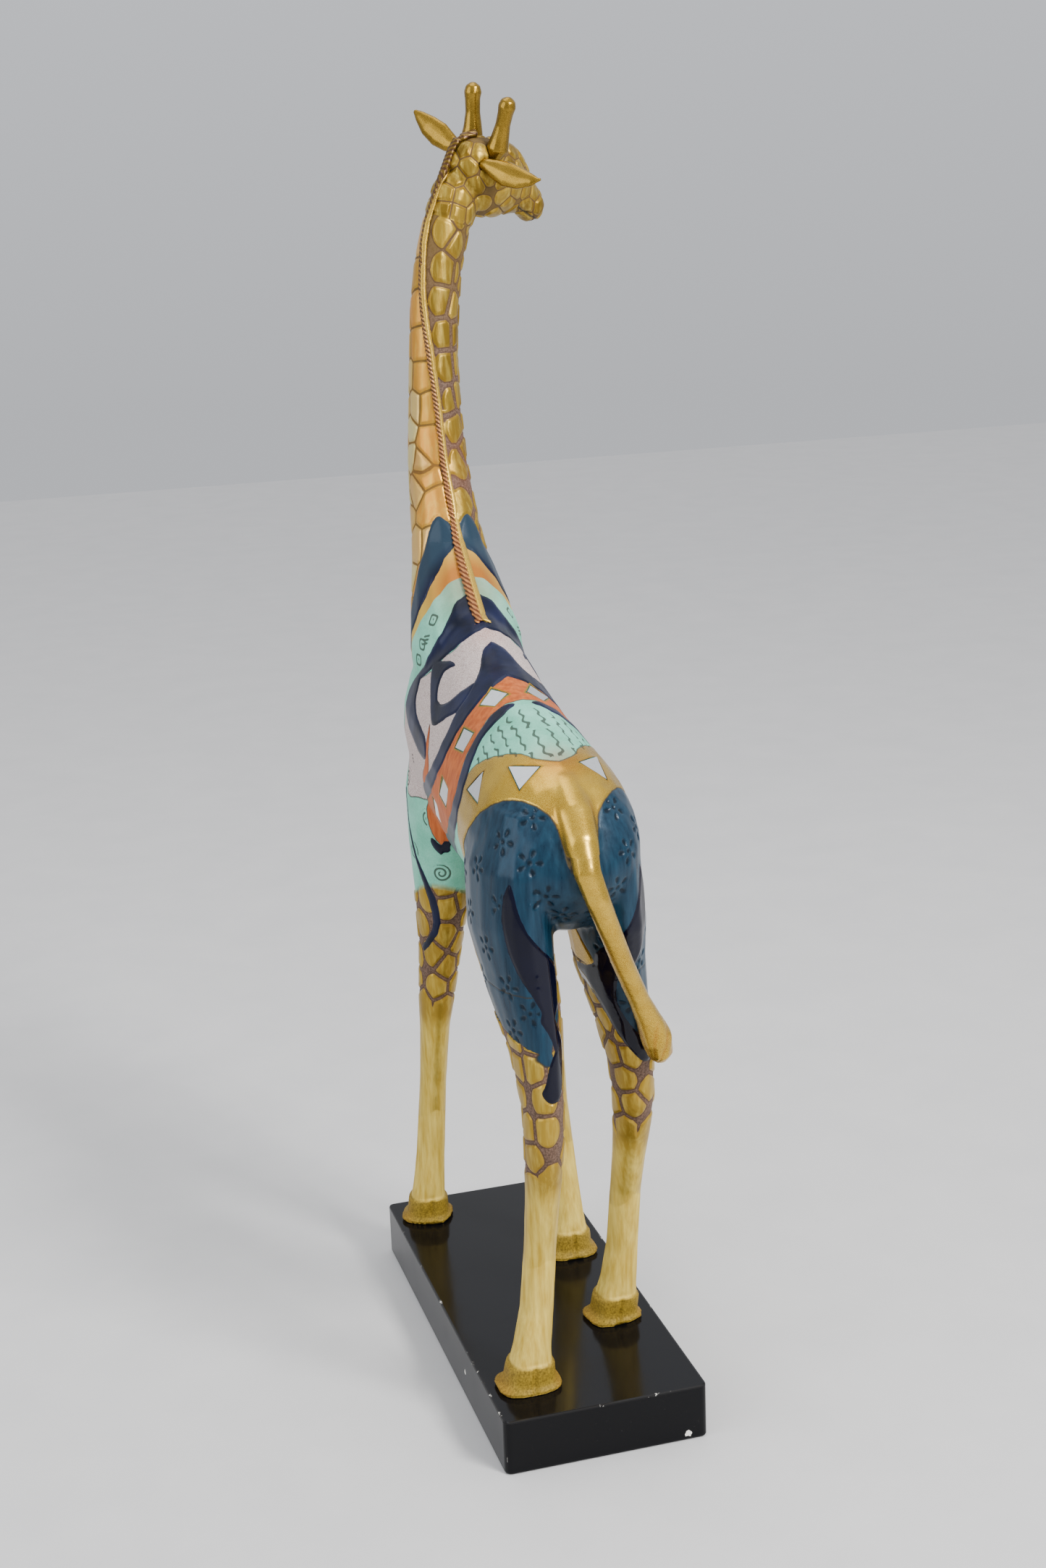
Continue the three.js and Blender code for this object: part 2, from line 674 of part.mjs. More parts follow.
function chipPairs(whole) {
  const body = new THREE.Mesh(toGeometry(whole));
  const floor = -MIRROR.sink - MIRROR.thickness;
  return Object.entries(CHIPS).flatMap(([name, { aim, facing, outline }]) => {
    const out = vec(...facing).normalize();
    const centre = onSkin(body, vec(...aim), out);
    const chip = chipGeometry(centre, out, outline, floor, -MIRROR.sink);
    const pocketTop = floor + MIRROR.pocketDepth;
    const pocket = chipGeometry(centre, out, outline, floor - GLUE, pocketTop, MIRROR.pocketScale);
    return [
      { name: `left_${name}`, chip: toSolid(chip), pocket: toSolid(pocket) },
      { name: `right_${name}`, chip: toSolid(onOtherSide(chip)), pocket: toSolid(onOtherSide(pocket)) },
    ];
  });
}

// ---------------------------------------------------------------- build

const body = bodySolid();
const chips = chipPairs(body);

add('plinth', toGeometry(plinthSolid(hooves)), PAINT.lacquer);
add('felt_pad', feltGeometry(), PAINT.felt);
Object.keys(LEGS).forEach((name, i) => {
  add(`${name}_hoof_screw`, screwGeometry(hooves[i]), PAINT.steel);
  add(`${name}_leg`, toGeometry(legSolid(name)), PAINT.gold);
  add(`${name}_dowel`, rod(legDowels[name], Z_UP, DOWEL.radius, DOWEL.length, DOWEL.sides), PAINT.steel);
});
add('torso', toGeometry(torsoSolid(body, chips.map(({ pocket }) => pocket))), PAINT.enamel);
chips.forEach(({ name, chip }) => add(name, toGeometry(chip), PAINT.mirror));
add('neck', toGeometry(neckSolid()), PAINT.gold);
add('neck_dowel', rod(neckDowelAt, Z_UP, NECK_DOWEL.radius, NECK_DOWEL.length, NECK_DOWEL.sides), PAINT.steel);
add('head', toGeometry(headSolid()), PAINT.gold);
add('head_dowel', rod(headJointAt, headJointNormal, DOWEL.radius, DOWEL.length, DOWEL.sides), PAINT.steel);
Object.keys(HEADGEAR).forEach((name) => add(name, toGeometry(headgear(name)), PAINT.gold));
add('mane', toGeometry(maneSolid()), PAINT.gold);
add('tail', toGeometry(tailSolid()), PAINT.gold);
add('tail_pin', rod(tailPinAt, tailPinAlong, TAIL_PIN.radius, TAIL_PIN.length, TAIL_PIN.sides), PAINT.steel);

export default giraffe;
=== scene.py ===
import math

import bmesh
import bpy
import numpy as np
from mathutils import Matrix, Vector
from mathutils.bvhtree import BVHTree


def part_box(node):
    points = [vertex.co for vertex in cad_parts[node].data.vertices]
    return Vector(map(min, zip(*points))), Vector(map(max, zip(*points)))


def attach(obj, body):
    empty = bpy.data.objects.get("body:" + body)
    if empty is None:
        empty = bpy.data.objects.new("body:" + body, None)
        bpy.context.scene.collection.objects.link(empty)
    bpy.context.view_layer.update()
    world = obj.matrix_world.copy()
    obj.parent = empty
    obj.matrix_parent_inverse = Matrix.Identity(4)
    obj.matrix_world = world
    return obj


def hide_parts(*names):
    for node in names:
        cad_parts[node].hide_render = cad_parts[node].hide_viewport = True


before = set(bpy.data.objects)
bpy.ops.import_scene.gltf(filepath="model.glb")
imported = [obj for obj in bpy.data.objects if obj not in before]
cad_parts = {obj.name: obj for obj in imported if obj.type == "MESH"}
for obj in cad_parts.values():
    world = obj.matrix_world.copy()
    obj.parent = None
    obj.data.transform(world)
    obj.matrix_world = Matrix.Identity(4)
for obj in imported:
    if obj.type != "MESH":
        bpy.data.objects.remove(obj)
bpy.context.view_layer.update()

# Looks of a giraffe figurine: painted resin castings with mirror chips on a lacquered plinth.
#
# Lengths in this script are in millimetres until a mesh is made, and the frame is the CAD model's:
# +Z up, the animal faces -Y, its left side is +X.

MM = 0.001
GROW = 0.35  # closes the glue gaps before the castings are skinned, and is taken off again

LEG_NAMES = ("left_hind", "right_hind", "left_fore", "right_fore")
CHIP_NAMES = sorted(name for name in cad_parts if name.endswith("_mirror"))


def low(node):
    return np.array(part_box(node)[0]) / MM


def high(node):
    return np.array(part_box(node)[1]) / MM


SOLE = low("left_hind_leg")[2]
HIND_JOINT = high("left_hind_leg")[2]
FORE_JOINT = high("left_fore_leg")[2]
NECK_JOINT = low("neck")[2]
UPPER_NECK = NECK_JOINT + 60  # only the joint with the head is higher than this
TAIL_JOINT = high("tail")[2]


# ------------------------------------------------------------------ meshes and arrays


def read(items, key, width, kind=np.float32):
    """One property of a mesh's points, edges or faces, as an array."""
    values = np.empty(len(items) * width, kind)
    items.foreach_get(key, values)
    return values.reshape(-1, width)


def node_arrays(name):
    """A CAD node's welded corner points and its triangles."""
    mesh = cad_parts[name].data
    mesh.calc_loop_triangles()
    corners = read(mesh.loop_triangles, "vertices", 3, np.int32)
    microns = np.round(read(mesh.vertices, "co", 3).astype(float) * 1e6).astype(np.int64)
    _, first, inverse = np.unique(microns, axis=0, return_index=True, return_inverse=True)
    return microns[first] / 1e3, inverse.ravel()[corners]


def face_crosses(points, triangles):
    """Each triangle's normal, as long as twice its area."""
    a, b, c = (points[triangles[:, k]] for k in range(3))
    return np.cross(b - a, c - a)


def grown(points, triangles, by):
    """The points moved out along their normals."""
    face_normals = face_crosses(points, triangles)
    normals = np.zeros_like(points)
    for k in range(3):
        np.add.at(normals, triangles[:, k], face_normals)
    lengths = np.linalg.norm(normals, axis=1, keepdims=True)
    return points + by * normals / np.maximum(lengths, 1e-9)


def mesh_object(name, points, faces):
    """A new object from points in millimetres and faces that all have as many corners."""
    mesh = bpy.data.meshes.new(name)
    mesh.vertices.add(len(points))
    mesh.vertices.foreach_set("co", (points * MM).astype(np.float32).ravel())
    mesh.loops.add(faces.size)
    mesh.loops.foreach_set("vertex_index", faces.astype(np.int32).ravel())
    mesh.polygons.add(len(faces))
    mesh.polygons.foreach_set("loop_start", np.arange(0, faces.size, faces.shape[1], dtype=np.int32))
    mesh.update(calc_edges=True)
    made = bpy.data.objects.new(name, mesh)
    bpy.context.scene.collection.objects.link(made)
    return made


def modified(obj, kind, **settings):
    """Adds one modifier and applies it."""
    modifier = obj.modifiers.new(kind, kind)
    for key, value in settings.items():
        setattr(modifier, key, value)
    depsgraph = bpy.context.evaluated_depsgraph_get()
    mesh = bpy.data.meshes.new_from_object(obj.evaluated_get(depsgraph))
    obj.modifiers.clear()
    obj.data = mesh
    return obj


def joined(name, parts):
    """One object from several pairs of points and triangles."""
    starts = np.cumsum([0] + [len(points) for points, _ in parts])
    faces = [triangles + start for (_, triangles), start in zip(parts, starts)]
    return mesh_object(name, np.vstack([points for points, _ in parts]), np.vstack(faces))


def points_of(mesh):
    return read(mesh.vertices, "co", 3).astype(float) / MM


def set_points(mesh, points):
    mesh.vertices.foreach_set("co", (points * MM).astype(np.float32).ravel())
    mesh.update()


def normals_of(mesh):
    return read(mesh.vertex_normals, "vector", 3).astype(float)


def neighbour_mean(values, edges, count):
    total = np.stack([
        np.bincount(edges[:, 0], weights=values[edges[:, 1], k], minlength=len(values))
        + np.bincount(edges[:, 1], weights=values[edges[:, 0], k], minlength=len(values))
        for k in range(values.shape[1])
    ], axis=1)
    return total / count[:, None]


def smooth_mesh(mesh, rounds):
    """Smooths away facets and voxel steps without shrinking the shape."""
    points = points_of(mesh)
    edges = read(mesh.edges, "vertices", 2, np.int32)
    count = np.maximum(np.bincount(edges.ravel(), minlength=len(points)), 1)
    for _ in range(rounds):
        for step in (0.5, -0.515):
            points += step * (neighbour_mean(points, edges, count) - points)
    set_points(mesh, points)


def skinned(name, nodes, voxel, rounds, grow=GROW, keep_growth=0.0, reshape=None):
    """One smooth skin over several CAD nodes, with the glue gaps between them closed."""
    parts = []
    for node in nodes:
        points, triangles = node_arrays(node)
        points = grown(points, triangles, grow)
        if reshape and node in reshape:
            points = reshape[node](points)
        parts.append((points, triangles))
    obj = joined(name, parts)
    modified(obj, "REMESH", mode="VOXEL", voxel_size=voxel * MM)
    smooth_mesh(obj.data, rounds)
    points = points_of(obj.data) - (grow - keep_growth) * normals_of(obj.data)
    set_points(obj.data, points)
    return modified(obj, "SUBSURF", levels=1, render_levels=1)


# ------------------------------------------------------------------ curves, outlines and ramps


def ease(value, start, end):
    """0 at start, 1 at end, smooth in between."""
    t = np.clip((value - start) / (end - start), 0, 1)
    return t * t * (3 - 2 * t)


def closed_curve(points, steps=5):
    """A smooth closed curve through a few points."""
    p = np.array(points, float)
    a, b, c, d = (np.roll(p, k, axis=0) for k in (1, 0, -1, -2))
    rows = []
    for k in range(steps):
        t = k / steps
        rows.append(0.5 * (2 * b + (c - a) * t + (2 * a - 5 * b + 4 * c - d) * t**2
                           + (3 * b - a - 3 * c + d) * t**3))
    return np.stack(rows, axis=1).reshape(-1, 2)


REACH = 8.0  # no distance to a border is kept past this


def kept(distance):
    """The distance, cut off at the reach on either side of the border."""
    return np.clip(distance, -REACH, REACH)


def signed_distance(places, outline):
    """Distance from 2-D places to a closed outline, negative inside and never past the reach."""
    shape = closed_curve(outline)
    out = np.full(len(places), REACH)
    near = np.all((places > shape.min(0) - REACH) & (places < shape.max(0) + REACH), axis=1)
    p = places[near]
    nearest = np.full(len(p), REACH**2)
    inside = np.zeros(len(p), bool)
    for a, b in zip(shape, np.roll(shape, -1, axis=0)):
        edge, rel = b - a, p - a
        along = np.clip(rel @ edge / max(edge @ edge, 1e-9), 0, 1)
        gap = rel - along[:, None] * edge
        nearest = np.minimum(nearest, (gap**2).sum(1))
        spans = (a[1] > p[:, 1]) != (b[1] > p[:, 1])
        if abs(edge[1]) > 1e-9:
            inside ^= spans & (p[:, 0] < a[0] + (p[:, 1] - a[1]) * edge[0] / edge[1])
    distance = np.sqrt(nearest)
    out[near] = np.where(inside, -distance, distance)
    return out


# ------------------------------------------------------------------ where a point is on the animal


def centreline(node, step=8.0):
    """Heights and centres of a CAD limb, from the bottom up."""
    points, _ = node_arrays(node)
    levels = np.round(points[:, 2] / step)
    rings = [points[levels == level] for level in np.unique(levels)]
    return np.array([0.5 * (ring.min(0) + ring.max(0)) for ring in rings])


# Where the legs' middles run on inside the body, above the castings' joints.
LEG_TOPS = {
    "left_hind": (21.2, 60, 252),
    "right_hind": (-20.5, 57, 240),
    "left_fore": (16.4, -69, 248),
    "right_fore": (-17.6, -66, 248),
}
LEG_LINES = {name: np.vstack([centreline(f"{name}_leg"), LEG_TOPS[name]]) for name in LEG_NAMES}
NECK_LINE = centreline("neck")
MANE_LINE = centreline("mane")


def middle_at(line, height):
    """Where a centreline passes at each height."""
    return np.stack([np.interp(height, line[:, 2], line[:, k]) for k in (0, 1)], axis=1)


def between_legs(height):
    """How far back the space between the fore legs and the hind legs has its middle."""
    return -10.0 + 0.12 * np.clip(height - 60, 0, 120)


def nearest_leg(points):
    """Outward and rearward distance from the leg of each point's own quarter of the animal."""
    outward, rearward = np.zeros(len(points)), np.zeros(len(points))
    hind = points[:, 1] > between_legs(points[:, 2])
    left = points[:, 0] > 0
    for name in LEG_NAMES:
        mask = (hind == name.endswith("hind")) & (left == name.startswith("left"))
        offset = points[mask, :2] - middle_at(LEG_LINES[name], points[mask, 2])
        outward[mask] = offset[:, 0] * (1 if name.startswith("left") else -1)
        rearward[mask] = offset[:, 1]
    return outward, rearward, hind


FLANK = 33.0  # half the width of the barrel where it is widest


def stencil(points, normals):
    """Places on a flat stencil laid over one flank: along the animal, and up over its back.

    Where the surface turns under the belly or to the inside of a leg, the stencil runs on."""
    x = np.abs(points[:, 0])
    outward = np.sign(points[:, 0]) * normals[:, 0] + normals[:, 2]
    under = ease(-outward, -0.3, 0.5)
    folded = x + under * 2 * (FLANK - x)
    return np.stack([points[:, 1], 0.8 * points[:, 2] - 0.6 * folded], axis=1)


# ------------------------------------------------------------------ painted zones, on the stencil

COAT_ON_NECK = [
    (-170, 440), (-50, 440), (-58, 330), (-66, 300), (-71, 291), (-76, 285), (-77, 276), (-76, 262),
    (-79, 250), (-85, 239), (-97, 230), (-112, 221), (-170, 205),
]
LEAF = [
    (-88, 293), (-84, 294.5), (-78, 288), (-74, 277), (-72, 268), (-72, 256), (-76, 246), (-82, 238),
    (-89, 230), (-92, 233), (-88, 241), (-85, 252), (-85, 264), (-87, 280),
]
STRIPE = [
    (-82, 300), (-74, 294), (-66.5, 284), (-65.5, 272), (-65.5, 261), (-68.5, 250), (-74, 242),
    (-83, 231), (-92, 222), (-96, 226), (-90, 236), (-82, 246), (-77, 258), (-76, 270), (-78, 284),
]
TENT = [
    (-58, 276), (-50, 276), (-42, 269), (-37, 262), (-38, 252), (-43, 243), (-50, 235), (-58, 229),
    (-65, 225), (-63, 231), (-58, 236), (-55, 243), (-52, 251), (-54, 260), (-57, 267),
]
HOOK = [
    (-31, 243), (-36, 243.5), (-42, 241.5), (-48, 240), (-50, 236), (-46, 230), (-41, 225),
    (-35, 219.5), (-29, 215.5), (-23, 217), (-16, 222), (-9, 227), (-7, 234), (-10, 242),
    (-14, 237), (-20, 229), (-26, 225.5), (-32, 226), (-36, 231), (-37, 237), (-34, 240.5),
]
CRESCENT = [
    (-61, 232), (-68, 227), (-74, 220), (-72, 212), (-64, 207), (-53, 204), (-42, 201), (-31, 200.5),
    (-29, 204), (-33, 208.5), (-41, 211), (-50, 214), (-57, 219), (-58, 225),
]
LAVENDER = [
    (-30, 275), (-42, 270), (-38, 252), (-43, 243), (-49, 235), (-58, 229), (-66, 226), (-75, 216),
    (-79, 202), (-76, 188), (-68, 180), (-58, 182), (-50, 184), (-34, 188), (-12, 199), (-6, 212),
    (-4, 230), (-8, 246), (-12, 262),
]
TENT_TWO = [
    (-31, 268), (-27, 258), (-22, 253), (-16, 248), (-11, 242), (-8, 234), (-9, 227), (-9, 219),
    (-12, 210), (-17, 202), (-26, 196), (-36, 191.5), (-41, 190.5), (-42, 187.5), (-38, 186),
    (-18, 192), (-5, 203), (0, 214), (3, 230), (1, 244), (-4, 254), (-8, 264),
]
ORANGE = [
    (-8, 262), (-6, 254), (-4, 249), (-1, 242), (1, 234), (1, 226), (-1, 217), (-4, 208), (-11, 200),
    (-22, 194), (-36, 188), (-47, 184.5), (-51, 181), (-51.5, 174), (-49, 169.5), (-44, 170), (-36, 173),
    (-20, 177), (-2, 181), (10, 186), (19, 192), (23, 199), (23.5, 205), (22, 212), (21, 220),
    (20, 227), (18, 234), (17, 241), (17, 250), (17, 262),
]
SHADOW_LINE = [
    (18, 244), (21, 243), (25, 235), (26, 228), (28, 221), (31, 214), (33, 206), (33, 198), (28, 188),
    (15, 181), (0, 175), (-20, 170.5), (-38, 166.5), (-47, 164.5), (-52, 166.5), (-51.5, 170),
    (-48, 169.5), (-38, 173), (-20, 178), (-2, 181), (10, 186), (19, 192), (23, 199),
    (23.5, 205), (22, 212), (21, 220), (20, 227), (18, 234), (17, 240),
]
GOLD_RUMP = [
    (71, 262), (70, 240), (68.5, 236), (64, 232), (57, 230), (51, 226.5), (43, 221), (36, 215.5),
    (31, 208), (29.5, 200), (30, 190), (31, 178), (33, 160), (37, 140), (45, 120), (80, 90),
    (118, 110), (122, 200), (112, 262),
]
THIGH = [
    (37.5, 180), (40, 184), (45, 188.5), (51, 193), (57, 199), (65, 206), (71, 211), (77, 214.5),
    (83, 216.5), (88, 216.5), (93, 213), (98, 206), (103, 196), (112, 170), (116, 60), (30, 40),
    (30, 130), (34, 165),
]
SADDLE = [
    (20, 262), (23, 243), (27, 234), (28, 227), (31, 219), (33, 212), (37, 214), (44, 219), (52, 224),
    (60, 228), (66, 232), (68, 240), (68, 262),
]

# Zones on the legs: an angle round the leg (0 behind, 90 outside) scaled to millimetres, and height.
TURN = 0.25
THIGH_ROUND = [
    (-150, 340), (-150, 240), (-130, 230), (-80, 224), (-50, 216), (-30, 206), (-14, 190), (-5, 177),
    (12, 178), (36, 181), (60, 184), (88, 188), (104, 198), (122, 212), (138, 228), (148, 245),
    (152, 256), (152, 340),
]
# The flame lies on the back of the thigh: outward distance from the leg's middle, and height.
FLAME = [
    (7.5, 253), (9.8, 246), (10.6, 238), (10, 230), (8.4, 222), (5.6, 214), (1.4, 206), (-1.7, 199),
    (-3.4, 192), (-3, 185), (-0.8, 178), (1.2, 170), (3.2, 165), (1.6, 161.5), (-1.2, 160.5),
    (-5, 162), (-7.4, 170), (-8.2, 180), (-9.4, 192), (-11, 204), (-11, 214), (-8, 220), (-3, 226),
    (2, 233), (5, 241), (6.2, 248),
]
# The curl's middle line lies round the elbow: angle round the leg, as above, and height.
CURL = [
    (112, 250), (104, 243), (93, 234), (78, 225), (62, 216.5), (46, 208), (33, 200), (26, 193), (23, 187),
    (27, 182), (37, 178), (50, 174.5), (64, 172),
]

# A sliver of orange between the crescent and the second tent.
SLIVER = [
    (-32, 215), (-27, 207), (-24, 199), (-28, 193), (-38, 189), (-40, 192), (-32, 197), (-30.5, 204),
]

# The gold tail root's middle line on the croup, and how wide its gold runs either side.
TAIL_ROOT = [(0, 62, 289), (0, 75, 285), (0.4, 88, 278), (0.6, 98, 269), (0.4, 101, 264)]
TAIL_ROOT_REACH = 6.8


# Heights at which zones end on the legs and the neck, and the thigh's front edge from its middle.
GOLD_ENDS, GROIN, HIND_COAT_EDGE, FORE_COAT_EDGE, ALL_COAT_ABOVE = 206, 214, 232, 203, 366
THIGH_FRONT = 26
ELSEWHERE = 20.0  # added to a zone's distance on the pair of legs that it is not on


def distance_to_path(points, path):
    """Distance to a chain of straight pieces."""
    nearest = np.full(len(points), np.inf)
    for a, b in zip(np.array(path[:-1], float), np.array(path[1:], float)):
        edge = b - a
        along = np.clip((points - a) @ edge / (edge @ edge), 0, 1)
        nearest = np.minimum(nearest, np.linalg.norm(points - a - along[:, None] * edge, axis=1))
    return nearest


def paint_zones(points, normals):
    """Signed distances to every painted zone, negative inside."""
    flat = stencil(points, normals)
    outward, rearward, hind = nearest_leg(points)
    height = points[:, 2]
    around = np.degrees(np.arctan2(outward, rearward))
    leg_flat = np.stack([around * TURN, height], axis=1)
    thigh_round = [(angle * TURN, z) for angle, z in THIGH_ROUND]

    zones = {name: signed_distance(flat, outline) for name, outline in (
        ("lavender", LAVENDER), ("orange", ORANGE), ("gold", GOLD_RUMP), ("saddle", SADDLE),
    )}
    zones["stripe"] = signed_distance(flat, STRIPE)
    zones["orange"] = np.minimum(zones["orange"], signed_distance(flat, SLIVER))

    on_hind = np.where(hind, 0.0, ELSEWHERE)
    on_fore = ELSEWHERE - on_hind
    thigh = np.maximum(signed_distance(flat, THIGH), signed_distance(leg_flat, thigh_round) + on_hind)
    zones["blue"] = kept(thigh)
    zones["gold"] = kept(np.maximum(zones["gold"], GOLD_ENDS - height) + on_hind)

    back_of_leg = np.stack([outward, height], axis=1)
    flame = np.maximum(signed_distance(back_of_leg, FLAME), -1 - rearward) + on_hind
    curl_line = [(angle * TURN, z) for angle, z in CURL]
    curl = distance_to_path(leg_flat, curl_line) - 0.9 - 1.0 * ease(-height, -238, -195) + on_fore
    zones["tongue"] = kept(flame)
    navy = [signed_distance(flat, shape) for shape in (LEAF, TENT, HOOK, CRESCENT, TENT_TWO, SHADOW_LINE)]
    zones["navy"] = kept(np.minimum.reduce([*navy, flame, curl]))

    neck = signed_distance(flat, COAT_ON_NECK)
    neck = np.where(height > ALL_COAT_ABOVE, -REACH, neck)
    below_edge = height - HIND_COAT_EDGE
    hind_coat = np.where(height < GROIN, below_edge, np.maximum(below_edge, -(rearward + THIGH_FRONT)))
    fore_edge = FORE_COAT_EDGE + 4 * np.sin(np.radians(around * 2 + 40))
    leg_coat = np.where(hind, hind_coat, height - fore_edge)
    zones["coat"] = kept(np.minimum(neck, leg_coat))

    zones["tail_root"] = kept(distance_to_path(points, TAIL_ROOT) - TAIL_ROOT_REACH)
    return zones


# ------------------------------------------------------------------ the giraffe's patches


def neck_frame(height):
    """Middle of the neck at each height, and the angle at which the mane lies on it."""
    middle = middle_at(NECK_LINE, height)
    offset = middle_at(MANE_LINE, height) - middle
    return middle, np.arctan2(offset[:, 0], offset[:, 1])


# Columns of patches on the neck: degrees from the mane, spacing in a column, and its offset.
NECK_COLUMNS = [(36, 15, 0.0), (80, 13, 6.0), (122, 13, 0.0), (160, 14, 7.0)]
NECK_FOOT, NECK_TOP = 300.0, 508.0


def neck_seeds(rng):
    """Patch centres in columns either side of the mane."""
    seeds = []
    for side in (1, -1):
        for degrees, spacing, offset in NECK_COLUMNS:
            z = NECK_FOOT + offset + (4.0 if side < 0 else 0.0)
            while z < NECK_TOP:
                height = z + rng.uniform(-1.6, 1.6)
                middle, mane = neck_frame(np.array([height]))
                angle = mane[0] + side * math.radians(degrees + rng.uniform(-5, 5))
                reach = 13.0 + max(0.0, (372 - height) * 0.28)
                x = middle[0, 0] + reach * math.sin(angle)
                y = middle[0, 1] + reach * math.cos(angle)
                seeds.append((x, y, height, side * degrees))
                z += spacing
    return np.array(seeds)


def scattered(points, spacing, rng, squeeze=1.0):
    """Points picked so that no two are nearer than the spacing."""
    scale = np.array([1, 1, squeeze])
    order = rng.permutation(len(points))[:6000]
    chosen = []
    for p in points[order]:
        if not chosen or np.min(np.sum(((np.array(chosen) - p) * scale) ** 2, axis=1)) > spacing**2:
            chosen.append(p)
    return np.array(chosen)


CHEST_FRONT, CHEST_TOP = -92.0, 326.0


def front_seeds(points, turn, taken):
    """Patch centres on the neck's front and the chest, where the columns leave room."""
    chest = (points[:, 1] < CHEST_FRONT) & (points[:, 2] < CHEST_TOP)
    rng = np.random.default_rng(60)
    front = rng.permutation(points[chest | (np.abs(turn) > 115)])[:6000]
    gaps = np.linalg.norm(front[:, None] - taken[None, :, :3], axis=2).min(1)
    chosen = scattered(front[gaps > 8.5], 10.5, rng, 0.85)
    return np.column_stack([chosen, np.where(chosen[:, 0] > 0, 150, -150)])


def cells(points, seeds, squeeze=1.0):
    """For each point the number of its patch, and the distance to the patch's border."""
    scale = np.array([1, 1, squeeze])
    p, s = points * scale, seeds * scale
    apart = np.linalg.norm(s[:, None] - s[None], axis=2) + 1e-9
    owner = np.empty(len(p), int)
    border = np.empty(len(p))
    for start in range(0, len(p), 20000):
        part = p[start:start + 20000]
        squared = ((part[:, None] - s[None]) ** 2).sum(2)
        own = squared.argmin(1)
        least = squared[np.arange(len(part)), own]
        gaps = (squared - least[:, None]) / (2 * apart[own])
        gaps[np.arange(len(part)), own] = np.inf
        owner[start:start + 20000] = own
        border[start:start + 20000] = gaps.min(1)
    return owner, border


LEG_PATCHES_TOP = 262.0
# Where the patches on each leg end and the plain gold begins.
PATCHES_END = {"left_hind": 118, "right_hind": 116, "left_fore": 134, "right_fore": 128}


def patch_layers(points, zones):
    """Distance inside each patch, its tone, and how far it stands up."""
    rng = np.random.default_rng(7)
    cell = np.full(len(points), 4.0)
    tone = np.full(len(points), 0.5)
    rise = np.zeros(len(points))
    plain = np.zeros(len(points))
    wanted = zones["coat"] < 2
    height = points[:, 2]

    on_neck = wanted & (height > LEG_PATCHES_TOP)
    seeds = neck_seeds(rng)
    middle, mane = neck_frame(height[on_neck])
    offset = points[on_neck, :2] - middle
    turn = np.degrees(np.arctan2(offset[:, 0], offset[:, 1]) - mane)
    turn = (turn + 180) % 360 - 180
    seeds = np.vstack([seeds, front_seeds(points[on_neck], turn, seeds)])
    owner, border = cells(points[on_neck], seeds[:, :3], 0.85)
    left = ease(turn, -14, 14) * ease(-turn, -170, -140)
    groove = 1.15 - 0.7 * np.maximum(left, ease(height[on_neck], 455, 505))
    pale, olive = rng.uniform(0.55, 0.8, len(seeds)), rng.uniform(0.1, 0.4, len(seeds))
    seed_tone = np.where(seeds[:, 3] > 0, pale, olive)
    seed_tone += np.where(seeds[:, 3] > 60, 0.18, 0) * (seeds[:, 2] < 440)
    apart = np.linalg.norm((points[on_neck] - seeds[owner, :3]) * [1, 1, 0.8], axis=1)
    oval = 6.4 + 6 * left + ease(-height[on_neck], -400, -330) * 3 - apart
    cell[on_neck] = np.minimum(border - groove, oval)
    tone[on_neck] = seed_tone[owner]
    rise[on_neck] = 0.62 - 0.25 * left

    outward, rearward, hind = nearest_leg(points)
    for number, name in enumerate(LEG_NAMES):
        mine = wanted & (height < LEG_PATCHES_TOP) & (hind == name.endswith("hind"))
        mine &= (points[:, 0] > 0) == name.startswith("left")
        if not mine.any():
            continue
        seeds = scattered(points[mine & (height > 96)], 9.6, np.random.default_rng(20 + number), 0.82)
        owner, border = cells(points[mine], seeds, 0.82)
        top = PATCHES_END[name]
        fade = ease(top + 12 - height[mine], 0, 22)
        apart = np.linalg.norm((points[mine] - seeds[owner]) * [1, 1, 0.8], axis=1)
        cell[mine] = np.minimum(border - 0.85, 5.9 - apart) + 7 * fade
        plain[mine] = ease(top + 4 - height[mine], 0, 12)
        tone[mine] = np.random.default_rng(40 + number).uniform(0.34, 0.49, len(seeds))[owner]
        rise[mine] = 0.6 * (1 - fade)
    return cell, tone, rise, plain


# ------------------------------------------------------------------ pressed and engraved motifs

FLOWERS_ON_THIGH = [
    (29, 81, 268), (36, 69, 255), (32, 86, 243), (17, 85, 278), (37, 60, 234), (36, 76, 223),
    (31, 87, 209), (24, 95, 199), (22, 94, 262), (37, 48, 248), (8, 92, 236), (14, 92, 248),
    (6, 62, 224), (8, 84, 216), (33, 62, 206), (24, 84, 190),
]
SPIRALS = [(27, -52, 241), (22, -53, 214), (33, -74, 256), (31, -84, 240), (22, -94, 262), (30, -66, 222)]
SQUARES = [(18, -60, 331), (26, -66, 312), (24, -62, 320), (12, -98, 288), (20, -92, 300)]
CHEVRONS = [(22, -60, 322), (27, -64, 303), (30, -70, 290), (31, -60, 268), (29, -88, 272), (16, -98, 275)]


def tangent_places(points, normals, anchor, reach):
    """Which points lie near an anchor on the surface, and where in its tangent plane."""
    away = np.linalg.norm(points - np.array(anchor, float), axis=1)
    at = int(away.argmin())
    centre, normal = points[at], normals[at]
    right = np.cross([0, 0, 1], normal)
    right /= np.linalg.norm(right) + 1e-9
    up = np.cross(normal, right)
    rel = points - centre
    near = (np.abs(rel).max(1) < reach) & (normals @ normal > 0.3)
    return near, rel[near] @ right, rel[near] @ up


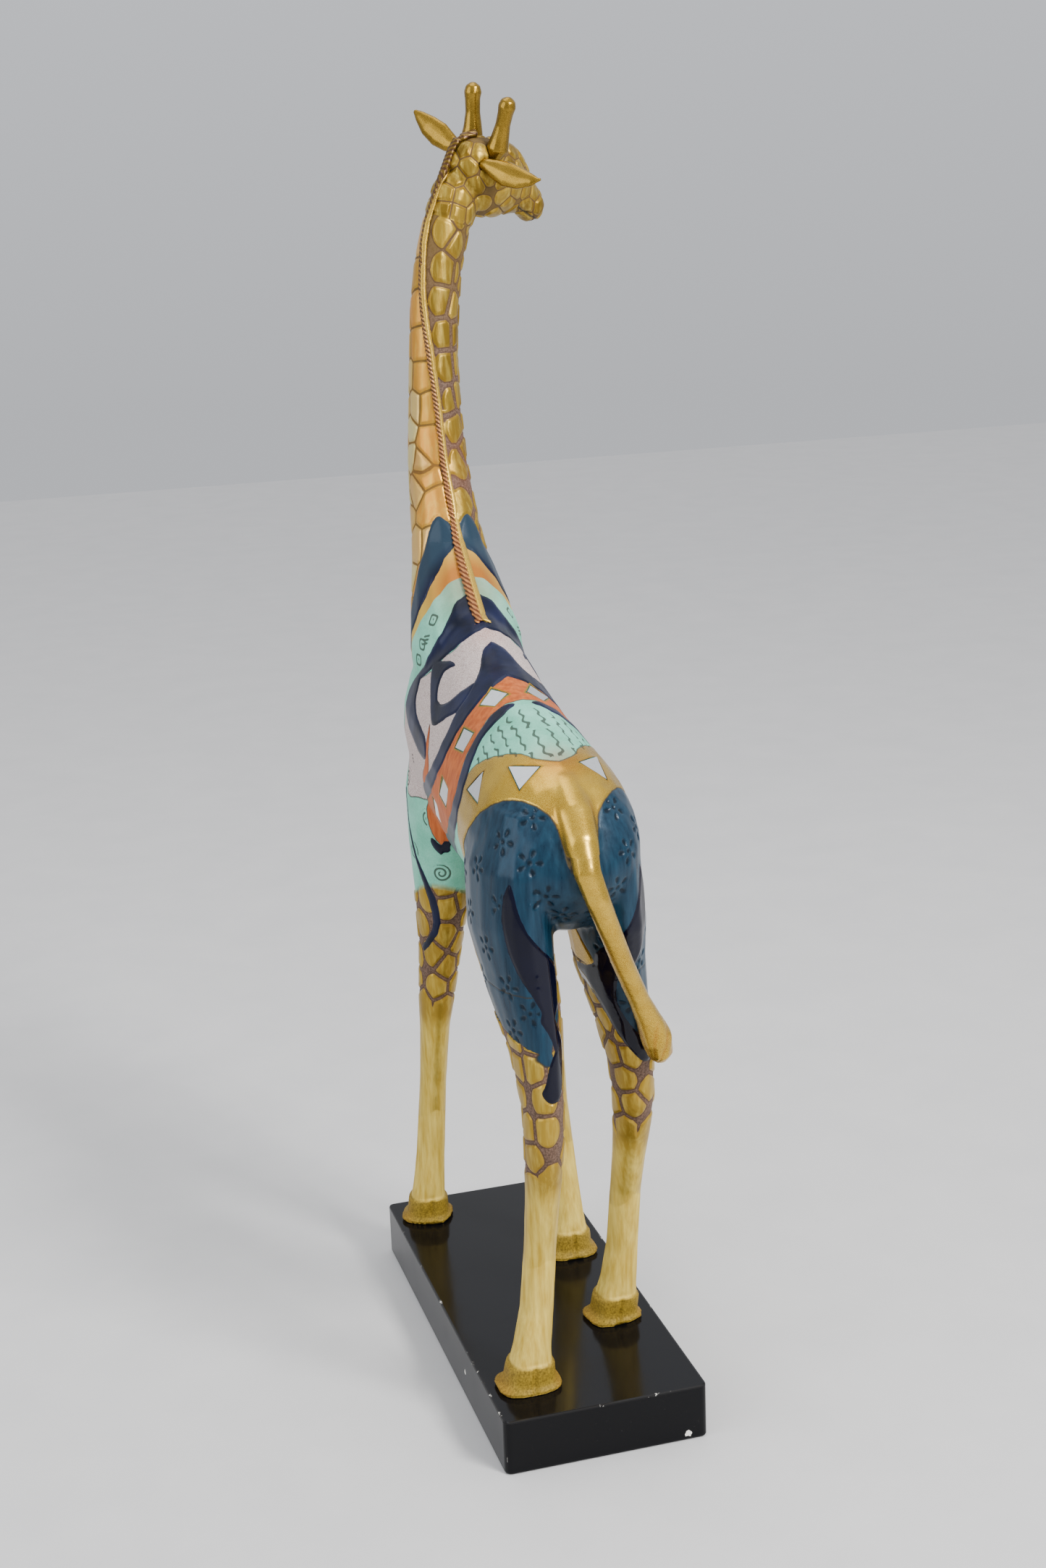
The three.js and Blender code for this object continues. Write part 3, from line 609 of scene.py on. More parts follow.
def flower(u, v):
    """How deep a five-petalled flower is pressed, from 0 to 1."""
    radius, angle = np.hypot(u, v), np.arctan2(v, u)
    turn = 2 * np.pi / 5
    local = (angle + turn / 2) % turn - turn / 2
    petal_u, petal_v = radius * np.cos(local), radius * np.sin(local)
    petal = np.hypot((petal_u - 3.3) / 1.5, petal_v / (0.55 + 0.2 * np.clip(petal_u - 1.6, 0, 3)))
    return np.maximum(ease(-petal, -1.15, -0.6), ease(-radius, -1.1, -0.5))


def spiral(u, v, pitch=2.1, size=4.6):
    """Distance to a spiral line."""
    radius, angle = np.hypot(u, v), np.arctan2(v, u)
    turns = radius / pitch - angle / (2 * np.pi)
    line = np.abs(turns - np.round(turns)) * pitch
    return np.where((radius < size) & (radius > 0.6), line, np.abs(radius - size) + 0.4)


def square(u, v, half=2.3):
    """Distance to a rounded square with a dot in it."""
    outline = np.abs((np.abs(u) ** 4 + np.abs(v) ** 4) ** 0.25 - half)
    return np.minimum(outline, np.hypot(u, v - 0.3))


def chevron(u, v):
    """Distance to three short strokes."""
    strokes = []
    for k in (-1, 0, 1):
        past_end = np.maximum(np.abs(u - 0.4 * k) - 1.6, 0)
        strokes.append(np.hypot(past_end, v - 1.7 * k - 0.25 * u))
    return np.minimum.reduce(strokes)


def motif_layers(points, normals, zones):
    """Darkness of the engraved lines, 1 in their middle, and the depth of pressed flowers."""
    ink = np.full(len(points), 6.0)
    pressed = np.zeros(len(points))

    def stamp(anchors, reach, draw):
        for x, y, z in anchors:
            for side in (1, -1):
                near, u, v = tangent_places(points, normals, (side * x, y, z), reach)
                yield near, draw(side * u, v)

    free = (zones["navy"] > 0.8) & (zones["coat"] > 0.8)
    for anchors, reach, draw in ((SPIRALS, 5.5, spiral), (SQUARES, 3.4, square), (CHEVRONS, 3.4, chevron)):
        for near, line in stamp(anchors, reach, draw):
            ink[near] = np.minimum(ink[near], line)
    ink = np.where(free & (zones["orange"] > 1) & (zones["stripe"] > 1), ink, 6.0)
    for near, depth in stamp(FLOWERS_ON_THIGH, 6.8, lambda u, v: flower(u / 1.2, v / 1.2)):
        pressed[near] = np.maximum(pressed[near], depth)
    pressed *= ease(-zones["blue"], 0.4, 1.2) * ease(zones["tongue"], 0.2, 0.8)

    flat = stencil(points, normals)
    back_line = 0.8 * (313.2 - 0.235 * points[:, 1])
    across = back_line - flat[:, 1] + 0.5 * np.sin(points[:, 1] * 1.0 + flat[:, 1] * 0.4)
    across += 0.3 * np.sin(points[:, 1] * 0.43 + flat[:, 1])
    spacing = 4.9
    waves = np.abs((across - 2.6) / spacing - np.round((across - 2.6) / spacing)) * spacing
    broken = ease(np.sin(points[:, 1] * 0.26 + np.round((across - 2.6) / spacing) * 2.4), -0.98, -0.92)
    ink = np.minimum(ink, np.where((zones["saddle"] < -1.2) & (broken > 0.5), waves, 6.0))
    return np.exp(-(ink / 0.6) ** 2), pressed


# ------------------------------------------------------------------ paint and relief on the castings


def chip_frame(name):
    """Centre, outward direction and top corners of a mirror chip."""
    points, triangles = node_arrays(name)
    crosses = face_crosses(points, triangles)
    facing = crosses[np.linalg.norm(crosses, axis=1).argmax()]
    facing = facing / np.linalg.norm(facing)
    centre = points.mean(0)
    if facing @ (centre - np.array([0, centre[1], 262.0])) < 0:
        facing = -facing
    return centre, facing, points[(points - centre) @ facing > 0]


def store(mesh, name, values):
    layer = mesh.attributes.get(name) or mesh.attributes.new(name, "FLOAT", "POINT")
    layer.data.foreach_set("value", values.astype(np.float32))


GLAZE_SPOTS = [
    ((0, -62, 344), 18, 0.6), ((0, 68, 297), 11, 0.75), ((0, -34, 330), 9, 0.35),
    ((11, 88, 274), 7, 0.5), ((-11, 88, 274), 7, 0.3), ((0, -104, 392), 16, 0.25),
]


def glaze_and_hoof_shade(points):
    """How much amber lies on the paint: brown glaze in soft spots, and painted shade on the hooves' sides.
    """
    amount = np.zeros(len(points))
    for centre, radius, strength in GLAZE_SPOTS:
        away = np.linalg.norm(points - np.array(centre, float), axis=1)
        amount = np.maximum(amount, strength * np.exp(-(away / radius) ** 2))
    outward, rearward, _ = nearest_leg(points)
    # painted shade: amber darkening on the left and right sides of each hoof
    edge = ease(np.abs(outward), 7, 11.5) * ease(-points[:, 2], -40, -34)
    return np.clip(amount + 0.16 * edge, 0, 1)


def relief(zones, cell, rise, ink, pressed):
    """Height of the relief over the smooth casting."""
    others = np.minimum.reduce([zones[k] for k in ("gold", "blue", "navy")])
    coat = ease(-zones["coat"], 0, 1) * ease(others, 0, 1)
    crease = 0.25 * (1 - ease(np.abs(cell + 0.3), 0, 0.5))
    height = rise * coat * (ease(cell, -0.1, 1.0) - crease)
    height += 0.42 * ease(-zones["navy"], -0.1, 1.3)
    bare = ease(zones["navy"], 0, 1)
    height += 0.2 * ease(-zones["gold"], -0.1, 0.9) * bare * ease(zones["blue"], 0, 0.8)
    height += 0.16 * ease(-zones["orange"], -0.1, 0.7) * bare
    height -= 0.32 * ink
    height -= 0.5 * pressed
    border = np.minimum.reduce([np.abs(zones[k]) for k in ("gold", "blue")])
    height -= 0.22 * np.exp(-(border / 0.4) ** 2) * bare * ease(zones["tail_root"], 0, 1)
    return height


def chip_distance(points):
    """Distance in its own plane to the nearest mirror chip's outline."""
    nearest = np.full(len(points), 6.0)
    for name in CHIP_NAMES:
        centre, facing, corners = chip_frame(name)
        right = corners[0] - centre
        right /= np.linalg.norm(right)
        up = np.cross(facing, right)
        outline = np.stack([(corners - centre) @ right, (corners - centre) @ up], axis=1)
        outline = outline[np.argsort(np.arctan2(outline[:, 1], outline[:, 0]))]
        rel = points - centre
        near = (np.linalg.norm(rel, axis=1) < 16) & (np.abs(rel @ facing) < 5)
        flat = np.stack([rel[near] @ right, rel[near] @ up], axis=1)
        distance = np.full(near.sum(), -99.0)
        for a, b in zip(outline, np.roll(outline, -1, axis=0)):
            away = np.array([b[1] - a[1], a[0] - b[0]])
            away /= np.linalg.norm(away) + 1e-9
            distance = np.maximum(distance, (flat - a) @ away)
        nearest[near] = np.minimum(nearest[near], distance)
    return nearest


HOOF_TOP = 37.0


def hoof_relief(points):
    """A ledge round the top of each hoof, a cleft up its back and a sharp lip at its sole."""
    outward, rearward, _ = nearest_leg(points)
    height = points[:, 2]
    top = HOOF_TOP + 0.8 * np.cos(np.arctan2(outward, rearward) * 2)
    ledge = ease(top - height, -0.5, 0.6) * (0.35 + 0.65 * ease(height, SOLE + 3, HOOF_TOP - 1))
    lip = ease(-height, -SOLE - 3.4, -SOLE - 0.8)
    cleft = np.exp(-(outward / 1.1) ** 2) * ease(rearward, 3, 7) * ease(top - height, -3, 2)
    return 1.15 * ledge + 1.2 * lip - 1.3 * cleft


def away_from_head_joint(points):
    """0 at the joint between neck and head, 1 away from it, so that the relief dies out there."""
    middle, axis = rod_axis("head_dowel")
    gap = np.abs((points - np.array(middle)) @ np.array(axis))
    return np.where(points[:, 2] > UPPER_NECK, ease(gap, 0.3, 2.2), 1.0)


def paint_casting(mesh):
    """Stores the paint's layers on a casting and raises its relief."""
    points, normals = points_of(mesh), normals_of(mesh)
    zones = paint_zones(points, normals)
    cell, tone, rise, plain = patch_layers(points, zones)
    ink, pressed = motif_layers(points, normals, zones)
    store(mesh, "chip_rim", chip_distance(points))
    store(mesh, "plain", plain)
    store(mesh, "hoof", ease(HOOF_TOP - points[:, 2], -0.8, 0.4))
    for name in ("coat", "lavender", "stripe", "orange", "gold", "blue", "navy", "tongue", "tail_root"):
        store(mesh, name, zones[name])
    store(mesh, "cell", cell)
    store(mesh, "tone", tone)
    store(mesh, "ink", ink)
    store(mesh, "pressed", pressed)
    store(mesh, "glaze_and_shade", glaze_and_hoof_shade(points))
    height = relief(zones, cell, rise, ink, pressed) + hoof_relief(points)
    height *= ease(points[:, 2], SOLE, SOLE + 0.6) * away_from_head_joint(points)
    sideways = normals * [1, 1, 0.25]
    set_points(mesh, points + height[:, None] * np.where(points[:, 2:] < HOOF_TOP + 2, sideways, normals))


# The head's own frame: +X its left, -Y forward to the muzzle, +Z its crown.
HEAD_FRAME = (
    Matrix.Translation((-30.5, -113.4, 535.6))
    @ Matrix.Rotation(math.radians(-58), 4, "Z")
    @ Matrix.Rotation(math.radians(22), 4, "X")
    @ Matrix.Rotation(math.radians(-19), 4, "Y")
)
EYE = (9.2, -15.0, -6.0)
NOSTRIL = (3.4, -45.0, -9.5)
MOUTH_HEIGHT = -17.5


def paint_head(mesh):
    """Rounded patches all over the head, and its eyes, nostrils and mouth."""
    points, normals = points_of(mesh), normals_of(mesh)
    inverse = np.array(HEAD_FRAME.inverted())
    local = points @ inverse[:3, :3].T + inverse[:3, 3]
    rng = np.random.default_rng(5)
    seeds = scattered(points, 7.2, rng)
    owner, border = cells(points, seeds)
    apart = np.linalg.norm(points - seeds[owner], axis=1)
    cell = np.minimum(border - 0.3, 5.2 - apart)

    mirrored = local.copy()
    mirrored[:, 0] = np.abs(local[:, 0])
    from_eye = np.linalg.norm((mirrored - EYE) * [1, 1, 1.25], axis=1)
    from_nostril = np.linalg.norm((mirrored - NOSTRIL) * [1, 0.6, 1.3], axis=1)
    lips = np.abs(local[:, 2] - MOUTH_HEIGHT - 0.06 * (local[:, 1] + 30))
    mouth = np.exp(-(lips / 0.6) ** 2) * ease(-local[:, 1], 26, 32)
    calm = ease(from_eye, 3.0, 4.4) * ease(from_nostril, 1.5, 3.0)

    for name in ("lavender", "stripe", "orange", "gold", "blue", "navy", "tongue", "tail_root", "chip_rim"):
        store(mesh, name, np.full(len(points), REACH))
    store(mesh, "coat", np.full(len(points), -REACH))
    store(mesh, "cell", cell + 3 * (1 - calm))
    store(mesh, "tone", rng.uniform(0.1, 0.42, len(seeds))[owner])
    dark = np.maximum(ease(-from_eye, -2.3, -1.9), ease(-from_nostril, -1.3, -0.6))
    store(mesh, "ink", np.maximum(dark, 0.8 * mouth))
    for name in ("pressed", "glaze_and_shade", "plain", "hoof"):
        store(mesh, name, np.zeros(len(points)))

    height = (0.75 * ease(cell, -0.1, 1.5) - 0.15) * calm
    height += 1.0 * ease(-from_eye, -2.6, -0.8) - 0.35 * np.exp(-((from_eye - 2.9) / 0.45) ** 2)
    height -= 1.0 * ease(-from_nostril, -1.5, -0.3) + 0.55 * mouth
    height *= away_from_head_joint(points)
    set_points(mesh, points + height[:, None] * normals)


def paint_mane(mesh):
    """Slanting hatching on the mane's left half, a smooth gold edge on its right half."""
    points, normals = points_of(mesh), normals_of(mesh)
    height = points[:, 2]
    middle = middle_at(MANE_LINE, height)
    _, turn = neck_frame(height)
    turn = np.where(height < NECK_JOINT, 0, turn)
    across = (points[:, 0] - middle[:, 0]) * np.cos(turn) - (points[:, 1] - middle[:, 1]) * np.sin(turn)
    left = ease(across, -0.4, 0.2)
    phase = np.sin(2 * np.pi * (height - 0.9 * across) / 2.0)
    strength = 0.35 + 0.65 * ease(-height, -480, -420)
    store(mesh, "hatch", left * (0.5 + 0.5 * phase))
    store(mesh, "left_half", left)
    store(mesh, "glaze_and_shade", 0.75 * left * ease(-height, -440, -350))
    height_of_relief = 0.24 * strength * left * phase - 0.3 * np.exp(-(across / 0.4) ** 2)
    wider = 0.5 * ease(-height, -410, -350) * across
    sideways = np.stack([np.cos(turn), -np.sin(turn), np.zeros(len(points))], axis=1)
    set_points(mesh, points + height_of_relief[:, None] * normals + wider[:, None] * sideways)


def paint_tail(mesh):
    """Fine grooves down the tuft."""
    points, normals = points_of(mesh), normals_of(mesh)
    tuft = ease(-points[:, 2], -low("tail")[2] - 26, -low("tail")[2] - 14)
    middle = points[points[:, 2] < low("tail")[2] + 24].mean(0)
    angle = np.arctan2(points[:, 0] - middle[0], points[:, 1] - middle[1])
    groove = np.sin(angle * 7 + points[:, 2] * 0.12)
    store(mesh, "glaze_and_shade", 0.35 * tuft * ease(-groove, 0.4, 1.0))
    set_points(mesh, points + (0.12 * tuft * groove)[:, None] * normals)


# ------------------------------------------------------------------ cutting the skin into castings


def cut_at(work, point, normal, wanted):
    """Cuts the faces whose middle passes the test along a plane."""
    faces = [f for f in work.faces if wanted(f.calc_center_median() / MM)]
    edges = {e for f in faces for e in f.edges}
    verts = {v for f in faces for v in f.verts}
    bmesh.ops.bisect_plane(
        work,
        geom=[*faces, *edges, *verts],
        dist=1e-6,
        plane_co=Vector(point) * MM,
        plane_no=Vector(normal),
    )


CASTING_NAMES = (*(f"{leg}_leg" for leg in LEG_NAMES), "torso", "neck")
ELBOW_BACK, ELBOW_FOLD, FOLD_BACK = -20, 214, -40  # the fore joint ends here; behind it the belly hangs


def casting_names(middles):
    """The casting that each face's middle belongs to, from the joint planes alone."""
    x, y, z = middles.T
    side = np.where(x > 0, "left", "right")
    elbow = (y < ELBOW_BACK) & (z < FORE_JOINT) & ((y < FOLD_BACK) | (z < ELBOW_FOLD))
    hind = (z < HIND_JOINT) & (y > between_legs(z))
    fore = elbow | ((z < HIND_JOINT) & ~hind)
    fore_names, hind_names = np.char.add(side, "_fore_leg"), np.char.add(side, "_hind_leg")
    return np.select([z > NECK_JOINT, fore, hind], ["neck", fore_names, hind_names], "torso")


def tree_of(node):
    points, triangles = node_arrays(node)
    return BVHTree.FromPolygons(points.tolist(), triangles.tolist())


def split_castings(obj, head_joint):
    """Splits the one skin into its castings, closed where they meet, and returns them by name."""
    work = bmesh.new()
    work.from_mesh(obj.data)
    cut_at(work, (0, 0, FORE_JOINT), (0, 0, 1), lambda c: c.y < -38 and abs(c.z - FORE_JOINT) < 2)
    cut_at(work, (0, 0, HIND_JOINT), (0, 0, 1), lambda c: c.y > 0 and abs(c.z - HIND_JOINT) < 2)
    cut_at(work, (0, 0, NECK_JOINT), (0, 0, 1), lambda c: abs(c.z - NECK_JOINT) < 2)
    cut_at(work, (0, 0, TAIL_JOINT), (0, 0, 1), lambda c: c.y > 88 and abs(c.z - TAIL_JOINT) < 2)
    cut_at(work, *head_joint, lambda c: c.z > UPPER_NECK)
    work.to_mesh(obj.data)
    work.free()

    mesh = obj.data
    middles = read(mesh.polygons, "center", 3).astype(float) / MM
    labels = casting_names(middles)

    trees = {name: tree_of(name) for name in ("tail", "torso", "right_hind_leg")}
    close = np.nonzero((middles[:, 1] > 85) & (np.abs(middles[:, 2] - TAIL_JOINT + 10) < 10))[0]
    for index in close:
        away = {name: tree.find_nearest(Vector(middles[index]))[3] for name, tree in trees.items()}
        if min(away, key=away.get) == "tail":
            labels[index] = "dropped"
    beyond = (middles - np.array(head_joint[0])) @ np.array(head_joint[1]) > 0
    labels[beyond & (middles[:, 2] > UPPER_NECK)] = "dropped"

    castings = {}
    for name in CASTING_NAMES:
        part = bmesh.new()
        part.from_mesh(mesh)
        dropped = [face for face, away in zip(part.faces, labels != name) if away]
        bmesh.ops.delete(part, geom=dropped, context="FACES")
        close_ends(part)
        castings[name] = object_from(part, f"{name}_casting")
    bpy.data.objects.remove(obj)
    return castings


def close_ends(part):
    """Closes the open ends of a cut casting with flat faces."""
    for face in part.faces:
        face.smooth = True
    open_edges = [e for e in part.edges if e.is_boundary]
    for edge in open_edges:
        edge.smooth = False
    filled = bmesh.ops.holes_fill(part, edges=open_edges, sides=0)["faces"]
    for face in filled:
        face.smooth = False


def object_from(part, name):
    mesh = bpy.data.meshes.new(name)
    part.to_mesh(mesh)
    part.free()
    made = bpy.data.objects.new(name, mesh)
    bpy.context.scene.collection.objects.link(made)
    return made


def rod_axis(node):
    """Middle and long direction of a straight CAD rod."""
    points, _ = node_arrays(node)
    middle = points.mean(0)
    _, _, directions = np.linalg.svd(points - middle)
    axis = directions[0] * np.sign(directions[0][2])
    return tuple(middle), tuple(axis)


# ------------------------------------------------------------------ shader helpers


def srgb(red, green, blue):
    """A colour from 0-255 display values."""
    def channel(value):
        v = value / 255
        return v / 12.92 if v <= 0.04045 else ((v + 0.055) / 1.055) ** 2.4
    return (channel(red), channel(green), channel(blue), 1.0)


class Paint:
    """A material's node tree, built call by call."""

    def __init__(self, name):
        self.material = bpy.data.materials.new(name)
        self.material.use_nodes = True
        self.tree = self.material.node_tree
        self.shader = self.tree.nodes["Principled BSDF"]
        self.place = self.add("ShaderNodeTexCoord").outputs["Object"]

    def add(self, kind, inputs=None, **settings):
        node = self.tree.nodes.new(kind)
        for key, value in settings.items():
            setattr(node, key, value)
        for key, value in (inputs or {}).items():
            if isinstance(value, bpy.types.NodeSocket):
                self.tree.links.new(value, node.inputs[key])
            else:
                node.inputs[key].default_value = value
        return node

    def attribute(self, name):
        return self.add("ShaderNodeAttribute", attribute_name=name).outputs["Fac"]

    def noise(self, scale, detail=3.0, rough=0.5, stretch=None):
        """Noise with a feature size of about 1/scale millimetres."""
        where = self.place
        if stretch:
            where = self.add("ShaderNodeMapping", {"Vector": self.place, "Scale": stretch}).outputs[0]
        inputs = {"Vector": where, "Scale": scale / MM, "Detail": detail, "Roughness": rough}
        return self.add("ShaderNodeTexNoise", inputs).outputs["Fac"]

    def math(self, operation, a, b=0.0, clamp=False):
        return self.add("ShaderNodeMath", {0: a, 1: b}, operation=operation, use_clamp=clamp).outputs[0]

    def ramp(self, value, start, end, low=0.0, high=1.0):
        inputs = {"Value": value, "From Min": start, "From Max": end, "To Min": low, "To Max": high}
        return self.add("ShaderNodeMapRange", inputs).outputs["Result"]

    def mix(self, factor, a, b):
        node = self.add("ShaderNodeMix", {0: factor, 6: a, 7: b}, data_type="RGBA")
        return node.outputs[2]

    def blend(self, factor, a, b):
        return self.add("ShaderNodeMix", {0: factor, 2: a, 3: b}).outputs[0]

    def bump(self, height, distance, strength=1.0, normal=None):
        inputs = {"Height": height, "Distance": distance * MM, "Strength": strength}
        if normal:
            inputs["Normal"] = normal
        return self.add("ShaderNodeBump", inputs).outputs["Normal"]

    def finish(self, colour, roughness, metallic, normal=None, specular=0.5, sheen=0.0):
        for key, value in (("Base Color", colour), ("Roughness", roughness), ("Metallic", metallic)):
            if isinstance(value, bpy.types.NodeSocket):
                self.tree.links.new(value, self.shader.inputs[key])
            else:
                self.shader.inputs[key].default_value = value
        if normal:
            self.tree.links.new(normal, self.shader.inputs["Normal"])
        self.shader.inputs["Specular IOR Level"].default_value = specular
        self.shader.inputs["Sheen Weight"].default_value = sheen
        return self.material


MINT = (srgb(92, 164, 138), srgb(128, 196, 172))
SAND = (srgb(150, 133, 128), srgb(196, 182, 176))
ORANGE_PAINT = (srgb(150, 70, 24), srgb(182, 97, 44))
NAVY_PAINT = (srgb(3, 8, 26), srgb(14, 22, 54))
LEAF_PAINT = srgb(30, 48, 62)
FLAME_PAINT = (srgb(2, 3, 14), srgb(7, 8, 28))
PETROL = (srgb(10, 34, 50), srgb(27, 58, 76))
GOLD = (srgb(150, 114, 26), srgb(206, 171, 70))
# darker olive gold of the ears and horns: partly their own colour, partly painted shade
TRIM_GOLD_AND_SHADE = (srgb(104, 78, 14), srgb(156, 124, 44))
PALE_GOLD = (srgb(168, 138, 46), srgb(206, 180, 86))
OLIVE = (srgb(96, 72, 12), srgb(156, 126, 42))
CREAM = srgb(206, 192, 132)
COPPER = srgb(196, 134, 48)
MAUVE = (srgb(70, 52, 40), srgb(108, 84, 70))
HOOF_GOLD = (srgb(96, 76, 16), srgb(146, 120, 36))
AMBER = srgb(150, 66, 10)
DARK_LINE = srgb(44, 40, 32)


def layered_paint(name):
    """The castings' paint: each layer's border is a stored distance, a little uneven as by hand."""
    p = Paint(name)
    wobble = p.ramp(p.noise(0.35, 2.0), 0.2, 0.8, -0.22, 0.22)
    cloud = p.noise(0.06, 3.0, 0.55)
    fine = p.noise(1.2, 2.0, 0.55)
    flakes = p.noise(5.0, 1.0, 0.5)
    strokes = p.noise(0.45, 3.0, 0.6, stretch=(1.0, 1.0, 0.12))

    def inside(attribute, soft=0.12):
        return p.ramp(p.math("ADD", p.attribute(attribute), wobble), soft, -soft)

    def tint(pair, factor):
        return p.mix(factor, pair[0], pair[1])

    paint = [None, None, None]

    def coat_over(mask, colour, rough, metal):
        """Paints one layer over what is there already."""
        if paint[0] is None:
            paint[:] = [colour, rough, metal]
            return
        paint[0] = p.mix(mask, paint[0], colour)
        paint[1] = p.blend(mask, paint[1], rough)
        paint[2] = p.blend(mask, paint[2], metal)

    # mint enamel, thinner in places
    mottled = p.math("ADD", p.math("MULTIPLY", cloud, 0.8), p.math("MULTIPLY", fine, 0.3))
    coat_over(None, tint(MINT, p.ramp(mottled, 0.4, 0.75)), 0.42, 0.1)

    # the coat: gold, copper and cream patches over mauve or gilt channels
    tone = p.attribute("tone")
    cell = p.attribute("cell")
    plain = p.attribute("plain")
    patch = tint(OLIVE, p.ramp(tone, 0.05, 0.5))
    patch = p.mix(p.ramp(tone, 0.5, 0.66), patch, COPPER)
    patch = p.mix(p.ramp(tone, 0.7, 0.86), patch, CREAM)
    patch = p.mix(p.ramp(strokes, 0.45, 0.7, 0.0, 0.4), patch, PALE_GOLD[1])
    patch = p.mix(p.ramp(cell, 1.4, 0.2, 0.0, 0.35), patch, GOLD[0])
    gilt_side = p.ramp(tone, 0.49, 0.52)
    along, up = p.add("ShaderNodeSeparateXYZ", {0: p.place}).outputs[1:]
    channel = p.mix(gilt_side, tint(MAUVE, p.ramp(fine, 0.35, 0.65)), GOLD[0])
    channel = p.mix(p.ramp(up, 0.44, 0.505, 0.0, 0.85), channel, srgb(96, 74, 28))
    uneven = p.math("ADD", cell, p.math("MULTIPLY", wobble, 0.5))
    raised = p.ramp(uneven, -0.1, 0.15)
    coat = p.mix(raised, channel, patch)
    crease = p.ramp(p.math("ABSOLUTE", p.math("ADD", uneven, 0.25)), 0.34, 0.1, 0.0, 0.7)
    coat = p.mix(crease, coat, srgb(70, 48, 30))
    smooth_leg = tint(PALE_GOLD, p.ramp(strokes, 0.3, 0.7))
    coat = p.mix(plain, coat, smooth_leg)
    coat = p.mix(p.attribute("hoof"), coat, tint(HOOF_GOLD, p.ramp(fine, 0.3, 0.7)))
    coat_over(inside("coat", 1.6), coat, p.blend(raised, 0.6, 0.36), p.blend(raised, 0.1, 0.55))

    coat_over(inside("lavender"), tint(SAND, p.ramp(p.noise(2.0, 2.0, 0.7), 0.38, 0.62)), 0.6, 0.15)
    near_mane = p.ramp(p.attribute("glaze_and_shade"), 0.05, 0.4)
    orange_share = p.math("MULTIPLY", near_mane, 0.7)
    coat_over(inside("stripe"), p.mix(orange_share, GOLD[1], ORANGE_PAINT[0]), 0.4, 0.45)

    gold = tint(GOLD, p.ramp(flakes, 0.4, 0.66))
    gold = p.mix(p.ramp(cloud, 0.4, 0.7, 0.0, 0.5), gold, GOLD[1])
    in_root = inside("tail_root", 1.2)
    in_gold = p.math("MAXIMUM", inside("gold"), in_root)
    coat_over(in_gold, gold, p.blend(flakes, 0.2, 0.34), 0.84)

    coat_over(inside("orange"), tint(ORANGE_PAINT, p.ramp(strokes, 0.35, 0.7)), 0.5, 0.08)

    # amber over the paint: brown glaze, and painted shade on the hooves' sides
    glaze_and_shade = p.math("MULTIPLY", p.attribute("glaze_and_shade"), p.ramp(fine, 0.2, 0.7, 0.55, 0.78))
    paint[0] = p.mix(glaze_and_shade, paint[0], AMBER)

    petrol = tint(PETROL, p.ramp(strokes, 0.3, 0.85))
    petrol = p.mix(p.math("MULTIPLY", p.attribute("pressed"), 0.85), petrol, srgb(3, 15, 26))
    not_root = p.math("SUBTRACT", 1.0, in_root, True)
    coat_over(p.math("MULTIPLY", inside("blue"), not_root), petrol, p.blend(strokes, 0.2, 0.42), 0.15)

    navy = tint(NAVY_PAINT, p.ramp(cloud, 0.35, 0.7))
    navy = p.mix(p.ramp(along, -0.073, -0.079), navy, LEAF_PAINT)
    coat_over(inside("navy"), navy, 0.32, 0.1)
    coat_over(inside("tongue"), tint(FLAME_PAINT, cloud), 0.1, 0.0)

    # gilt frames round the mirror chips
    rim = p.attribute("chip_rim")
    coat_over(p.ramp(rim, 1.25, 1.0), GOLD[0], 0.35, 0.6)
    coat_over(p.ramp(rim, 0.45, 0.3), DARK_LINE, 0.5, 0.1)

    # dark wash left in the engraved lines and round the borders
    outline = p.ramp(p.attribute("ink"), 0.4, 0.66, 0.0, 0.85)
    clear_of_navy = p.ramp(p.attribute("navy"), 0.0, 0.4)
    for border, width in (("gold", 0.28), ("blue", 0.3), ("orange", 0.24), ("lavender", 0.24)):
        line = p.math("ABSOLUTE", p.math("ADD", p.attribute(border), wobble))
        line = p.math("MULTIPLY", p.ramp(line, width + 0.2, width - 0.1, 0.0, 0.8), not_root)
        outline = p.math("MAXIMUM", outline, p.math("MULTIPLY", line, clear_of_navy))
    coat_over(outline, DARK_LINE, 0.5, 0.15)

    # worn specks show the gold ground
    specks = p.ramp(p.noise(0.7, 5.0, 0.75), 0.72, 0.76, 0.0, 0.6)
    coat_over(specks, GOLD[1], 0.4, 0.6)

    normal = p.bump(fine, 0.05, 0.3)
    normal = p.bump(p.noise(0.2, 3.0), 0.3, 0.25, normal)
    return p.finish(*paint, normal, specular=0.2)


def gold_paint(name, shades):
    """Plain metallic gold with a flake, browner where the glaze has settled."""
    p = Paint(name)
    flakes = p.noise(5.0, 1.0)
    cloud = p.noise(0.1, 3.0, 0.6)
    colour = p.mix(p.ramp(flakes, 0.4, 0.66), shades[0], shades[1])
    colour = p.mix(p.ramp(cloud, 0.4, 0.75, 0.0, 0.5), colour, shades[1])
    colour = p.mix(p.math("MULTIPLY", p.attribute("glaze_and_shade"), 0.8), colour, AMBER)
    normal = p.bump(p.noise(1.2, 2.0), 0.05, 0.25)
    normal = p.bump(cloud, 0.35, 0.25, normal)
    return p.finish(colour, p.blend(flakes, 0.2, 0.34), 0.86, normal)


